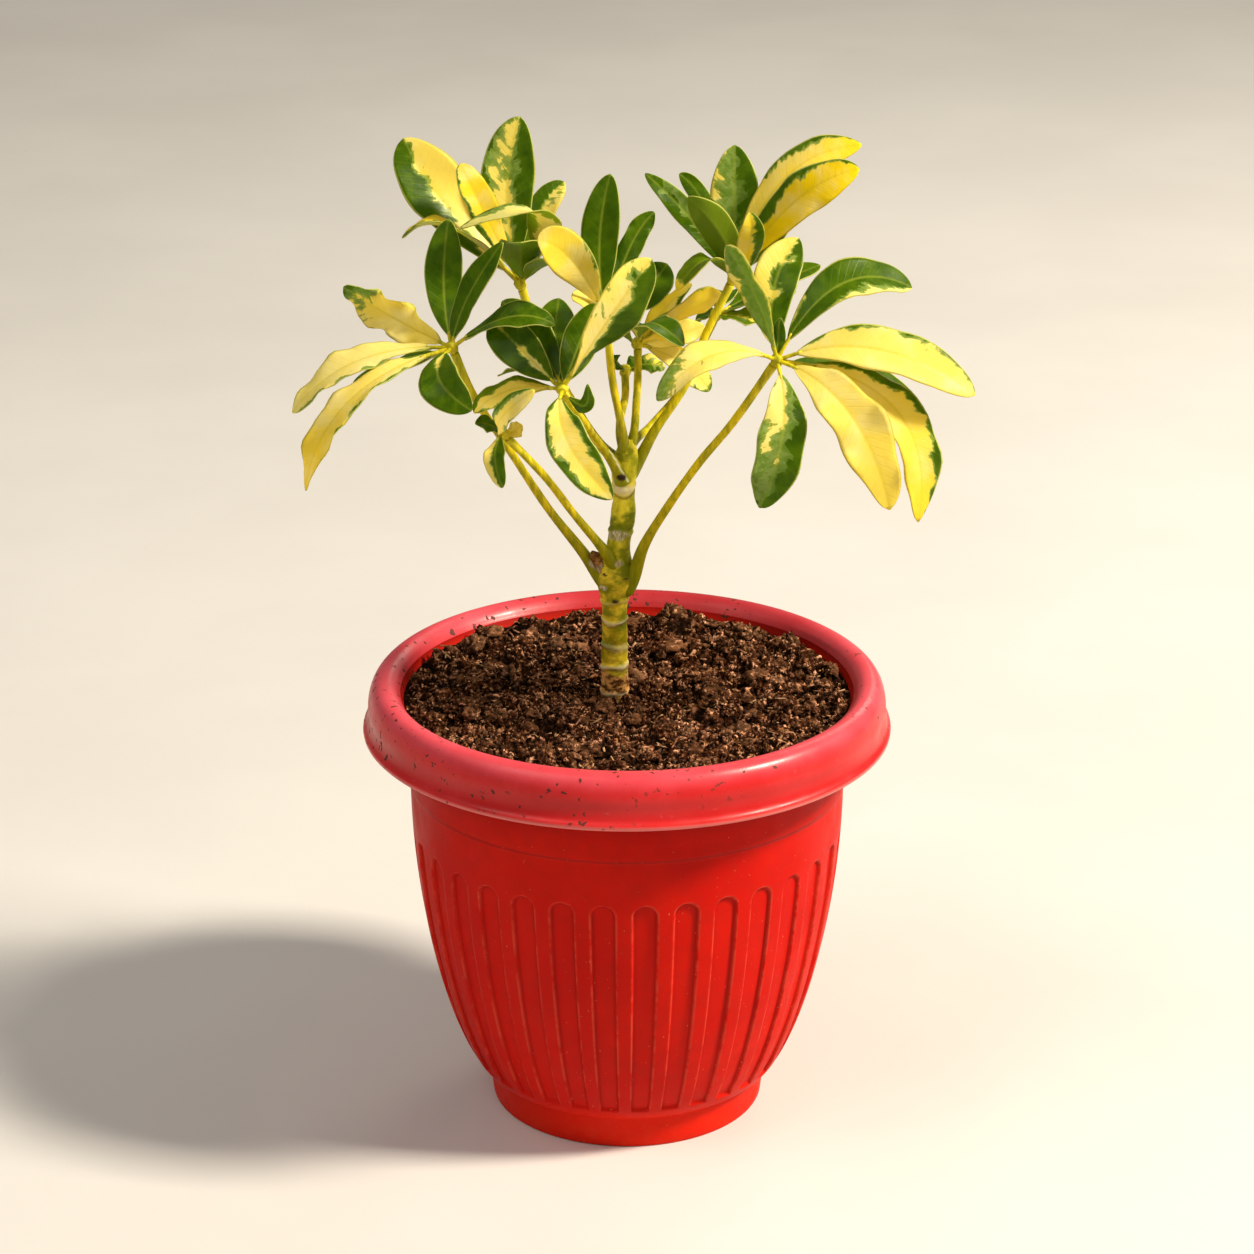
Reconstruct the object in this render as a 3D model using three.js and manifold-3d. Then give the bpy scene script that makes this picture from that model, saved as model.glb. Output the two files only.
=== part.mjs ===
// A potted variegated umbrella plant: a fluted plastic pot with a rolled rim, filled with soil,
// and a ringed trunk that carries ten compound leaves, each a stalk with a crown of leaflets.
// Millimetres, +Z up. The origin is the centre of the pot's underside, the viewer stands at -Y.
import * as THREE from "three";
import { mergeVertices } from "three/addons/utils/BufferGeometryUtils.js";
import Module from "manifold-3d";

const wasm = await Module();
wasm.setup();

// Clearance between pieces that touch.
const GAP = 0.3;

// Pot: the foot, the fluted bowl, the collar above the step and the rolled rim.
const WALL = 3.6;
const FLOOR = 6;
const FOOT = { height: 20, bottomRadius: 78.4, topRadius: 81 };
const BOWL = { bottom: 21, top: 197, bottomRadius: 83.5, topRadius: 123.6, bulge: 1.9, fullness: 0.72 };
const COLLAR = { bottom: 200, top: 226, bottomRadius: 125, topRadius: 125.6 };
const FLUTES = {
  count: 33,
  firstAngle: 2,
  bottom: 28,
  top: 172,
  archRadius: 7,
  halfAngle: 3.4,
  wallAngle: 0.7,
  depth: 2,
};
const RIM_SECTION = [
  [126.2, 228.6],
  [146.5, 228.4],
  [149.6, 229],
  [150, 231.2],
  [148.2, 233.6],
  [147, 238],
  [146.9, 246],
  [145.2, 252.8],
  [142.4, 256.8],
  [139, 258.5],
  [134.8, 258],
  [131, 255],
  [128.4, 251.5],
];
const RIM_COLUMNS = 44;
const WALL_COLUMNS = 36;
const DRAIN = { count: 5, circleRadius: 48, holeRadius: 4.5 };

// The inner wall under the rim: [height, radius].
const THROAT = [
  [248, 127],
  [243, 125.4],
  [234, 122.8],
];

// Soil: its top lies a little below the rim. Its clods are [x, y, radius, height].
const SOIL_TOP = 247;
const SOIL_BUMP = 1.2;
const SOIL_RINGS = [117, 107, 97, 87, 77, 67, 57, 47, 37, 27, 18];
const CLODS = [
  [-57, 104, 15, 8],
  [-24, 108, 15, 7],
  [-84, 76, 17, 7],
  [-107, 50, 15, 7],
  [-114, 8, 14, 6],
  [-112, -28, 15, 5],
  [-66, 54, 17, 6],
  [-34, 50, 17, 7],
  [-52, 12, 16, 5],
  [-89, -32, 17, 6],
  [-74, -69, 18, 6],
  [-42, -92, 16, 6],
  [-16, -78, 16, 6],
  [-38, -42, 17, 5],
  [31, 110, 18, 9],
  [69, 94, 15, 7],
  [94, 72, 15, 7],
  [115, 28, 16, 6],
  [113, -14, 15, 6],
  [34, 58, 16, 7],
  [66, 56, 15, 6],
  [78, 18, 18, 7],
  [44, 14, 15, 5],
  [84, -24, 15, 5],
  [54, -30, 17, 6],
  [20, -68, 17, 6],
  [50, -78, 15, 5],
  [4, -104, 15, 5],
  [82, -74, 15, 5],
  [12, -34, 15, 5],
];

// Trunk: [height, centre x, radius], from its buried foot to the bud between the upper stalks.
const TRUNK_SIDES = 12;
const TRUNK = [
  [205, -7, 7.9],
  [246, -7, 7.9],
  [268, -7, 7.5],
  [300, -7, 7],
  [312, -6.5, 7.6],
  [322, -6, 8.8],
  [330, -5.5, 7.8],
  [338, -5, 6.4],
  [347, -3.2, 6.8],
  [357, -1.8, 7.1],
  [366, -1.6, 5.9],
  [378, -2, 6.9],
  [388, -0.5, 7.2],
  [395, 0, 5.6],
  [400, 0.5, 3],
];
const LEAF_SCARS = [251, 266, 278, 294, 305, 346, 373];
const SCAR_HEIGHT = 0.7;
const SCAR_HALF_WIDTH = 1.4;

// Leaflets: shares of a leaflet's length, and sizes of its cross-section.
const STATIONS = [0, 0.1, 0.2, 0.36, 0.55, 0.74, 0.9, 1];
const STEM_SHARE = 0.1;
const STEM_HALF = 1.1;
const BLADE_HALF_THICKNESS = 0.45;
const TIP_HALF_WIDTH = 0.9;
const FOLD = 0.2;
const WAVE = 1.4;
const WAVES_PER_BLADE = 1.6;

// Stalks and the hubs that their leaflets grow from.
const STALK_SIDES = 6;
const STALK_STEPS = 8;
const STALK_FLARE = 7;
const STALK_RADIUS = 2.2;
const HUB_SIDES = 6;
const HUB_SECTION = [
  [0, 2.3],
  [1.5, 3.2],
  [4.5, 3.4],
  [6.5, 2.2],
];
const HUB_CENTRE = 3;

const COLOURS = {
  pot: { color: 0xc21a12, roughness: 0.42 },
  soil: { color: 0x4a2b1d, roughness: 0.95 },
  bark: { color: 0x9a9440, roughness: 0.75 },
  stalk: { color: 0xb3b43c, roughness: 0.55 },
  leaf: { color: 0x6f9a2e, roughness: 0.45 },
};

// The leaves. base is the stalk's flare at the trunk, stalk its points from the trunk to the hub.
// A leaflet's row holds its tip and the middle of its midrib, both from the hub, the way its upper
// side faces, its width and, where it twists, the way its upper side faces at the tip.
const LEAVES = {
  left: {
    base: 6,
    stalk: [[-5, 0, 308], [-14, 1, 317], [-25, -1, 334], [-44, -7, 362], [-66, -13, 400], [-84, -18, 431]],
    hub: [-94, -20, 456],
    leaflets: [
      [[-3, 25, 68], [-6, 20, 32], [0, -1, 0.3], 21],
      [[27, 4, 61], [7, 6, 28], [-0.5, -0.8, 0.3], 15],
      [[55, -18, 21], [30, -14, 24], [0.1, -0.4, 0.9], 20],
      [[-61, 25, 30], [-31, 15, 14], [-0.2, -0.9, 0.4], 22, [0.3, -0.6, -0.5]],
      [[-88, -10, -31], [-51, -8, -2], [-0.1, -0.4, 0.9], 21],
      [[-58, 32, -28], [-30, 22, -15], [-0.2, -0.2, 1], 22],
      [[-80, -35, -67], [-55, -28, -18], [-0.5, -0.5, 0.7], 22, [-0.8, -0.5, 0.1]],
      [[11, -46, -18], [-7, -34, -3], [-0.3, -0.9, 0.4], 24],
    ],
  },
  front: {
    base: 6.4,
    stalk: [[-1, -2, 374], [-7, -8, 388], [-16, -17, 404], [-24, -32, 421], [-32, -45, 437]],
    hub: [-34, -50, 443],
    leaflets: [
      [[-39, 28, 33], [-23, 10, 21], [-0.3, -0.9, 0.4], 24],
      [[-34, 40, 39], [-15, 22, 23], [0, -1, 0.3], 22],
      [[-3, 46, 39], [-5, 26, 18], [0, -1, 0.3], 24],
      [[17, 23, 43], [7, 13, 20], [0.1, -1, 0.3], 20],
      [[47, 2, 74], [22, -6, 40], [1.1, -0.4, -0.4], 30, [0.1, -1, 0.2]],
      [[-48, -5, -10], [-28, 4, 0], [0, -0.2, 1], 18, [-0.3, -0.4, 0.6]],
      [[26, -48, -44], [2, -42, -12], [0, -0.9, 0.4], 23],
      [[-36, 20, 3], [-18, 10, 9], [0, 0, 1], 11],
      [[13, -11, 8], [11, -8, -5], [-0.3, -0.9, 0.2], 8],
    ],
  },
  upper_left: {
    base: 5,
    stalk: [[-2, 2, 384], [-8, 8, 387], [-15, 14, 392], [-25, 22, 405], [-37, 28, 425], [-50, 30, 451]],
    hub: [-58, 30, 477],
    leaflets: [
      [[-65, 15, 82], [-40, 8, 44], [0.9, -0.5, 0.6], 36, [0, -1, 0.3]],
      [[-33, -6, 73], [-21, -4, 46], [0.4, -0.8, 0.3], 18],
      [[-1, 20, 93], [-8, 12, 50], [0, -0.9, 0.4], 30],
      [[23, 42, 50], [8, 26, 32], [-0.3, -0.8, 0.4], 18],
      [[-65, -16, 34], [-38, -10, 38], [0, 0.12, 1], 22],
      [[-33, -34, 44], [10, -22, 48], [0.1, 0.05, 1], 25],
      [[0, -36, 37], [0, -14, 24], [0, 0.75, 0.65], 25],
      [[36, -31, 10], [16, -18, 20], [0.2, 0.05, 1], 26],
    ],
  },
  low_left: {
    base: 5.6,
    stalk: [[-5, -2, 322], [-11, -9, 335], [-17, -14, 345], [-29, -24, 364], [-45, -32, 389]],
    hub: [-65, -40, 414],
    leaflets: [
      [[16, -40, 40], [-2, -30, 21], [-0.4, -0.8, 0.4], 14],
      [[-2, -28, -19], [-6, -20, -3], [-0.3, -0.9, 0.3], 12],
      [[8, -2, 8], [4, 0, 4], [0, -0.8, 0.5], 9],
      [[-17, -6, 10], [-9, -3, 8], [0, -0.6, 0.8], 10],
    ],
  },
  middle: {
    base: 3.6,
    stalk: [[-1, 0, 389], [-2, -6, 404], [-4, -8, 415], [-8, -9, 437]],
    hub: [-11, -10, 470],
    leaflets: [
      [[2, 16, 79], [-4, 12, 40], [0, -1, 0.3], 21],
      [[26, 26, 55], [12, 18, 36], [0.2, -0.8, 0.5], 13],
      [[-37, -24, 53], [-19, -18, 41], [-0.2, -0.85, 0.5], 24],
      [[33, 36, 23], [20, 22, 11], [0, -0.9, 0.4], 22],
      [[-1, 52, -3], [-1, 27, 5], [0, -0.3, 1], 22],
      [[-18, -12, 16], [-10, -5, 13], [-0.3, -0.7, 0.6], 14],
    ],
  },
  inner: {
    base: 3.4,
    stalk: [[1, -1, 393], [4, 3, 404], [5, 10, 415], [6, 19, 430]],
    hub: [6, 25, 444],
    leaflets: [
      [[25, -39, 14], [7, -26, 23], [0, -0.2, 1], 21],
      [[26, -11, 2], [13, -9, 9], [0.2, 0.3, 0.9], 13],
      [[30, 17, 33], [12, 9, 17], [0, -0.4, 0.9], 12],
      [[47, 9, 28], [30, 7, 22], [-0.1, 0.8, 0.5], 17],
      [[37, 9, 11], [19, 5, 6], [0, -0.8, 0.6], 15],
      [[40, 11, -28], [25, 9, -11], [0.2, -0.8, 0.6], 17],
      [[-21, -19, 22], [-12, -10, 14], [-0.2, -0.2, 1], 14],
      [[7, 57, -6], [4, 30, 4], [0, 0, 1], 20],
    ],
  },
  young: {
    base: 2.6,
    stalk: [[-2, 2, 391], [-4, 12, 397], [-4, 21, 403], [-1, 37, 413]],
    hub: [-1, 45, 422],
    leaflets: [
      [[-7, -7, 14], [-4, -4, 8], [0, -0.5, 0.8], 9],
      [[8, 11, 8], [5, 6, 5], [0, -0.5, 0.8], 10],
      [[22, 3, 3], [12, 3, 6], [0, -0.5, 0.8], 12],
    ],
  },
  upper_right: {
    base: 5.6,
    stalk: [[-1, 0, 376], [7, 5, 387], [15, 9, 401], [33, 14, 428], [43, 17, 454]],
    hub: [57, 20, 483],
    leaflets: [
      [[-47, 6, 61], [-20, -2, 35], [-0.3, -0.6, 0.7], 13],
      [[-24, -24, 56], [-5, -18, 31], [-0.3, 0.8, 0.5], 19],
      [[-28, 32, 54], [-13, 22, 37], [0, -0.9, 0.4], 11],
      [[2, 18, 74], [2, 10, 37], [0, -1, 0.3], 27],
      [[71, 6, 77], [28, 2, 58], [-0.4, -0.8, 0.4], 21],
      [[68, -26, 72], [33, -22, 52], [-0.3, -0.9, 0.3], 24],
      [[9, -34, 50], [9, -26, 28], [0.2, -0.9, 0.4], 15],
      [[31, -10, 41], [20, -8, 27], [0, -0.9, 0.4], 12],
      [[-30, -28, 5], [-13, -18, 19], [-0.3, -0.2, 0.9], 18],
    ],
  },
  right: {
    base: 6.2,
    stalk: [[-4, 0, 306], [2, -3, 319], [7, -10, 341], [22, -20, 368], [40, -30, 397], [57, -37, 421]],
    hub: [79, -45, 457],
    leaflets: [
      [[-26, 15, 62], [-9, 1, 36], [-0.9, -0.4, 0.3], 22],
      [[14, 37, 60], [0, 19, 35], [-0.2, -0.9, 0.3], 25],
      [[75, 27, 35], [35, 11, 41], [-0.3, -0.6, 0.7], 26],
      [[108, -7, -15], [54, -7, 11], [0.1, -0.7, 0.7], 28],
      [[79, -13, -85], [65, -9, -22], [0.5, -0.6, 0.6], 28, [0.6, -0.8, 0.1]],
      [[61, -47, -66], [39, -35, -15], [-0.1, -0.8, 0.6], 29],
      [[-8, -35, -69], [4, -35, -27], [0, -0.9, 0.4], 26],
      [[-63, -35, -9], [-32, -21, 12], [-0.1, -0.4, 0.9], 23],
      [[81, 35, -33], [42, 21, -13], [0.2, -0.6, 0.8], 25],
      [[3, 1, 26], [2, 1, 12], [0, -1, 0.3], 8],
    ],
  },
  rear: {
    base: 2.8,
    stalk: [[1, 2, 392], [5, 14, 395], [13, 28, 398], [33, 44, 418], [42, 56, 436]],
    hub: [49, 62, 450],
    leaflets: [
      [[61, 30, 23], [32, 18, 14], [-0.2, -0.4, 0.9], 18],
      [[24, -8, 1], [12, -4, 3], [0, -0.2, 1], 16],
      [[-10, 14, -8], [-5, 9, -1], [0, -0.4, 0.9], 14],
      [[46, -2, 17], [25, -2, 12], [0, 0, 1], 16],
      [[11, 46, -1], [6, 24, 8], [0, 0.3, 1], 20],
    ],
  },
};

const point = ([x, y, z]) => new THREE.Vector3(x, y, z);
const degrees = THREE.MathUtils.degToRad;

// A closed surface through rings of points. Each ring runs anticlockwise seen from where the loft
// heads, rings may differ in count, and both end rings are closed by a fan. A column in flipped is
// split along its other diagonal.
function loft(rings, flipped = []) {
  const points = rings.flat();
  const faces = [];
  let first = 0;
  for (let k = 1; k < rings.length; k++) {
    const lower = rings[k - 1].length;
    const upper = rings[k].length;
    const a = (i) => first + (i % lower);
    const b = (j) => first + lower + (j % upper);
    let i = 0;
    let j = 0;
    while (i < lower || j < upper) {
      const ahead = (j + 1) * lower - (i + 1) * upper;
      if (j === upper || (i < lower && (ahead > 0 || (ahead === 0 && !flipped.includes(i))))) {
        faces.push(a(i), a(i + 1), b(j));
        i++;
      } else {
        faces.push(a(i), b(j + 1), b(j));
        j++;
      }
    }
    first += lower;
  }
  for (const [ring, offset, back] of [[rings[0], 0, true], [rings.at(-1), first, false]]) {
    const centre = points.push(ring.reduce((sum, p) => sum.add(p), point([0, 0, 0])).divideScalar(ring.length)) - 1;
    ring.forEach((_, i) => {
      const next = offset + ((i + 1) % ring.length);
      faces.push(centre, ...(back ? [next, offset + i] : [offset + i, next]));
    });
  }
  const geometry = new THREE.BufferGeometry().setFromPoints(points);
  geometry.setIndex(faces);
  return geometry;
}

// A level ring of points round (x, y).
function levelRing(count, radius, z, x = 0, y = 0) {
  return Array.from({ length: count }, (_, i) => {
    const angle = (2 * Math.PI * i) / count;
    return new THREE.Vector3(x + radius * Math.cos(angle), y + radius * Math.sin(angle), z);
  });
}

function toSolid(geometry) {
  return new wasm.Manifold(
    new wasm.Mesh({
      numProp: 3,
      vertProperties: new Float32Array(geometry.attributes.position.array),
      triVerts: new Uint32Array(geometry.index.array),
    }),
  );
}

function toGeometry(solid) {
  const { vertProperties, triVerts } = solid.getMesh();
  const geometry = new THREE.BufferGeometry();
  geometry.setAttribute("position", new THREE.BufferAttribute(vertProperties, 3));
  geometry.setIndex(new THREE.BufferAttribute(triVerts, 1));
  return geometry;
}

// The value at z of a table whose rows start with a height, straight between the rows.
function tableAt(table, z, column) {
  const k = Math.max(1, table.findIndex((row) => row[0] >= z));
  const [low, high] = [table[k - 1], table[k]];
  return THREE.MathUtils.mapLinear(z, low[0], high[0], low[column], high[column]);
}

// The bowl's outer radius between the flutes.
function bowlRadius(z) {
  const down = (BOWL.top - z) / (BOWL.top - BOWL.bottom);
  const out = (1 - down ** BOWL.bulge) ** BOWL.fullness;
  return BOWL.bottomRadius + (BOWL.topRadius - BOWL.bottomRadius) * out;
}

// A ring round the bowl at z with four points to a flute: the two lips and the two foot lines of
// its recess. The recess narrows in a half circle at its top end.
function fluteRing(z, depthShare) {
  const radius = bowlRadius(z);
  const rise = Math.max(0, z - (FLUTES.top - FLUTES.archRadius)) / FLUTES.archRadius;
  const narrowing = Math.max(0.08, Math.sqrt(1 - rise ** 2));
  const lip = FLUTES.halfAngle * narrowing;
  const foot = Math.max(lip - FLUTES.wallAngle, lip / 2);
  const ring = [];
  for (let i = 0; i < FLUTES.count; i++) {
    const middle = FLUTES.firstAngle + i * (360 / FLUTES.count);
    for (const [offset, recess] of [[-lip, 0], [-foot, 1], [foot, 1], [lip, 0]]) {
      const angle = degrees(middle + offset);
      const r = radius - recess * depthShare * FLUTES.depth;
      ring.push(new THREE.Vector3(r * Math.cos(angle), r * Math.sin(angle), z));
    }
  }
  return ring;
}

// The pot's inner wall: [height, radius] from the top down to the floor.
function innerWall() {
  const heights = [145, 90, 50, 32];
  return [
    ...THROAT,
    [BOWL.top, BOWL.topRadius - WALL],
    ...heights.map((z) => [z, bowlRadius(z) - WALL]),
    [FOOT.height, FOOT.topRadius - WALL],
    [FLOOR, FOOT.bottomRadius - WALL],
  ];
}

function potGeometry() {
  const ring = (radius, z) => levelRing(RIM_COLUMNS, radius, z);
  const archStart = FLUTES.top - FLUTES.archRadius;
  const pot = toSolid(
    loft([
      ring(FOOT.bottomRadius, 0),
      ring(FOOT.topRadius, FOOT.height),
      ring(BOWL.bottomRadius, BOWL.bottom),
      fluteRing(FLUTES.bottom, 0),
      ...[31, 52, 100, archStart].map((z) => fluteRing(z, 1)),
      ...[0.55, 0.88].map((share) => fluteRing(archStart + share * FLUTES.archRadius, 1)),
      fluteRing(FLUTES.top, 0),
      ring(BOWL.topRadius, BOWL.top),
      ring(COLLAR.bottomRadius, COLLAR.bottom),
      ring(COLLAR.topRadius, COLLAR.top),
      ...RIM_SECTION.map(([radius, z]) => ring(radius, z)),
      ...innerWall().map(([z, radius]) => levelRing(WALL_COLUMNS, radius, z)),
    ]),
  );
  let drained = pot;
  for (let i = 0; i < DRAIN.count; i++) {
    const angle = (2 * Math.PI * i) / DRAIN.count;
    const drill = new THREE.CylinderGeometry(DRAIN.holeRadius, DRAIN.holeRadius, 4 * FLOOR, 10);
    drill.rotateX(Math.PI / 2);
    drill.translate(DRAIN.circleRadius * Math.cos(angle), DRAIN.circleRadius * Math.sin(angle), 0);
    drained = drained.subtract(toSolid(welded(drill)));
  }
  return toGeometry(drained);
}

// Low mounds with the clods standing on them.
function soilHeight(x, y) {
  const mounds = Math.sin(x / 9 + 1) * Math.sin(y / 11 + 2) + 0.7 * Math.sin((x + y) / 17);
  const clods = CLODS.map(
    ([cx, cy, radius, height]) => height * (1 - Math.hypot(x - cx, y - cy) ** 2 / radius ** 2),
  );
  return SOIL_TOP + SOIL_BUMP * mounds + Math.max(0, ...clods);
}

function soilGeometry() {
  const [, footX, footRadius] = TRUNK[0];
  const hole = (z) => levelRing(TRUNK_SIDES, footRadius + GAP, z, footX);
  const sides = innerWall().reverse();
  const top = SOIL_RINGS.map((radius, k) => {
    const centreX = (footX * k) / (SOIL_RINGS.length - 1);
    return levelRing(WALL_COLUMNS, radius, 0, centreX).map((p) => p.setZ(soilHeight(p.x, p.y)));
  });
  return loft([
    ...sides.map(([z, radius]) => levelRing(WALL_COLUMNS, radius - 1.5 * GAP, Math.max(z, FLOOR + GAP))),
    ...top,
    hole(SOIL_TOP),
    hole(TRUNK[0][0] - GAP),
  ]);
}

// The trunk, grown by margin all over, with a ridge at each leaf scar.
function trunkGeometry(margin = 0) {
  const plain = TRUNK.map(([z]) => [z, 0]);
  const ridges = LEAF_SCARS.flatMap((z) => [
    [z - SCAR_HALF_WIDTH, 0],
    [z, SCAR_HEIGHT],
    [z + SCAR_HALF_WIDTH, 0],
  ]);
  const clear = plain.filter(([z]) => LEAF_SCARS.every((scar) => Math.abs(z - scar) > 2 * SCAR_HALF_WIDTH));
  const levels = [...clear, ...ridges].sort((a, b) => a[0] - b[0]);
  return loft(
    levels.map(([z, ridge]) =>
      levelRing(TRUNK_SIDES, tableAt(TRUNK, z, 2) + ridge + margin, z, tableAt(TRUNK, z, 1)),
    ),
  );
}

// A ring of points in the plane of u and v round centre, running from u towards v.
function tiltedRing(centre, u, v, radius, count) {
  return Array.from({ length: count }, (_, i) => {
    const angle = (2 * Math.PI * i) / count;
    const ring = u.clone().multiplyScalar(radius * Math.cos(angle));
    return ring.addScaledVector(v, radius * Math.sin(angle)).add(centre);
  });
}

// The way a stalk heads where it meets its hub.
function hubAxis(leaf) {
  return point(leaf.hub).sub(point(leaf.stalk.at(-1))).normalize();
}

// A leaf's stalk: flared where it clasps the trunk, and ending just short of its hub.
function stalkGeometry(leaf, trunkCut) {
  const end = point(leaf.hub).addScaledVector(hubAxis(leaf), -GAP);
  const path = new THREE.CatmullRomCurve3([...leaf.stalk.map(point), end]);
  const { normals, binormals } = path.computeFrenetFrames(STALK_STEPS, false);
  const rings = normals.map((normal, k) => {
    const left = 1 - k / STALK_STEPS;
    const radius = STALK_RADIUS + (leaf.base - STALK_RADIUS) * left ** STALK_FLARE;
    return tiltedRing(path.getPointAt(1 - left), normal, binormals[k], radius, STALK_SIDES);
  });
  return toGeometry(toSolid(loft(rings)).subtract(trunkCut));
}

// How wide a blade is at a share of its length: egg-shaped, widest past its middle.
function bladeOutline(share) {
  return (share ** 0.8 * (1 - share) ** 0.5) / 0.421;
}

// A leaflet: a short round stem that widens into a waved blade, folded a little along its midrib.
function leafletGeometry([tip, middle, face, width, tipFace = face], hub, root, phase) {
  const end = point(tip).add(hub);
  const control = point(middle).add(hub).multiplyScalar(2);
  control.addScaledVector(root, -0.5).addScaledVector(end, -0.5);
  const midrib = new THREE.QuadraticBezierCurve3(root, control, end);
  const rings = STATIONS.map((station) => {
    const along = midrib.getTangent(station);
    const facing = point(face).lerp(point(tipFace), station);
    const side = along.clone().cross(facing).normalize();
    const up = side.clone().cross(along);
    const share = Math.max(0, (station - STEM_SHARE) / (1 - STEM_SHARE));
    const outline = bladeOutline(share);
    const half = share > 0 ? Math.max(TIP_HALF_WIDTH, (outline * width) / 2) : STEM_HALF;
    const thick = share > 0 ? BLADE_HALF_THICKNESS : STEM_HALF;
    const corner = (across, level) => {
      const wave = WAVE * outline * Math.sin(2 * Math.PI * WAVES_PER_BLADE * share + phase + across);
      const lift = Math.abs(across) * (FOLD * half * outline + wave) + level * thick;
      return midrib.getPoint(station).addScaledVector(side, across * half).addScaledVector(up, lift);
    };
    return [corner(1, 1), corner(1, -1), corner(0, -1), corner(-1, -1), corner(-1, 1), corner(0, 1)];
  });
  return loft(rings, [1, 2]);
}

// A leaf's crown: its hub with all its leaflets grown together.
function crownGeometry(leaf) {
  const axis = hubAxis(leaf);
  const across = new THREE.Vector3(1, 0, 0).cross(axis).normalize();
  const other = axis.clone().cross(across);
  const along = (distance) => point(leaf.hub).addScaledVector(axis, distance);
  const hub = loft(
    HUB_SECTION.map(([distance, radius]) => tiltedRing(along(distance), across, other, radius, HUB_SIDES)),
  );
  const crown = leaf.leaflets.reduce(
    (sum, row, i) => sum.add(toSolid(leafletGeometry(row, along(0), along(HUB_CENTRE), 2 * i))),
    toSolid(hub),
  );
  return toGeometry(crown);
}

// A three.js shape as one closed surface: only its positions, with the shared corners joined.
function welded(geometry) {
  geometry.deleteAttribute("normal");
  geometry.deleteAttribute("uv");
  return mergeVertices(geometry);
}

function piece(name, geometry, { color, roughness }) {
  geometry.computeVertexNormals();
  const material = new THREE.MeshStandardMaterial({ color, roughness, metalness: 0, flatShading: true });
  const mesh = new THREE.Mesh(geometry, material);
  mesh.name = name;
  return mesh;
}

const plant = new THREE.Group();
plant.add(piece("pot", potGeometry(), COLOURS.pot));
plant.add(piece("soil", soilGeometry(), COLOURS.soil));
plant.add(piece("trunk", trunkGeometry(), COLOURS.bark));
const trunkCut = toSolid(trunkGeometry(GAP));
for (const [name, leaf] of Object.entries(LEAVES)) {
  plant.add(piece("stalk_" + name, stalkGeometry(leaf, trunkCut), COLOURS.stalk));
  plant.add(piece("leaflets_" + name, crownGeometry(leaf), COLOURS.leaf));
}

export default plant;
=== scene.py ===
"""Looks of a potted variegated umbrella plant: fluted red plastic pot, crumbly soil, ringed
trunk, leaf stalks and crowns of waved leaflets. Sizes are in millimetres; Mesh.build turns them
into metres."""

from math import copysign, cos, exp, hypot, pi, radians, sin, sqrt

import bmesh
import bpy
import numpy as np
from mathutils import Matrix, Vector, noise


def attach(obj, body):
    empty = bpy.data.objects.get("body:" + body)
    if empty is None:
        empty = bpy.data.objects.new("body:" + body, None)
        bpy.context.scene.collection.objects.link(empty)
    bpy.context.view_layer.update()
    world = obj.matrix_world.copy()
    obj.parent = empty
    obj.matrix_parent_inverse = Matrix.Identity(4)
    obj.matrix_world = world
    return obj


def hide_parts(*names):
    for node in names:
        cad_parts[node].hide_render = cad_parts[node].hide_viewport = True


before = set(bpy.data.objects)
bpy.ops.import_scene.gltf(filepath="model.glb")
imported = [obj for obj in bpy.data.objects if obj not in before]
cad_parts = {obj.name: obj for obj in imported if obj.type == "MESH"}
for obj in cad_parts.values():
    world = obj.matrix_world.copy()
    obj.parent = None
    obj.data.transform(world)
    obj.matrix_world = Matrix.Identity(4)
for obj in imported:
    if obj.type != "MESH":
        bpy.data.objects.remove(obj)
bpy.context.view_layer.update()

MM = 0.001
TAU = 2 * pi
GAP = 0.3

# ---- sizes shared with the solids
WALL = 3.6
FLOOR = 6
FOOT = {"height": 20, "bottom": 78.4, "top": 81}
BOWL = {"bottom": 21, "top": 197, "r0": 83.5, "r1": 123.6, "bulge": 1.9, "fullness": 0.72}
FLUTES = {"count": 33, "first": 2, "bottom": 28, "top": 172, "arch": 7, "half": 3.4, "depth": 2}
RIM_SECTION = [
    (126.2, 228.6), (146.5, 228.4), (149.6, 229), (150, 231.2), (148.2, 233.6), (147, 238),
    (146.9, 246), (145.2, 252.8), (142.4, 256.8), (139, 258.5), (134.8, 258), (131, 255),
    (128.4, 251.5),
]
THROAT = [(127, 248), (125.4, 243), (122.8, 234)]
DRAIN = {"count": 5, "circle": 48, "radius": 4.5}
SOIL_TOP = 247
SOIL_EDGE = 248
# The mounds of the soil: x, y, radius and height.
CLODS = [
    (-57, 104, 15, 8), (-24, 108, 15, 7), (-84, 76, 17, 7), (-107, 50, 15, 7), (-114, 8, 14, 6),
    (-112, -28, 15, 5), (-66, 54, 17, 6), (-34, 50, 17, 7), (-52, 12, 16, 5), (-89, -32, 17, 6),
    (-74, -69, 18, 6), (-42, -92, 16, 6), (-16, -78, 16, 6), (-38, -42, 17, 5), (31, 110, 18, 9),
    (69, 94, 15, 7), (94, 72, 15, 7), (115, 28, 16, 6), (113, -14, 15, 6), (34, 58, 16, 7),
    (66, 56, 15, 6), (78, 18, 18, 7), (44, 14, 15, 5), (84, -24, 15, 5), (54, -30, 17, 6),
    (20, -68, 17, 6), (50, -78, 15, 5), (4, -104, 15, 5), (82, -74, 15, 5), (12, -34, 15, 5),
]
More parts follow.
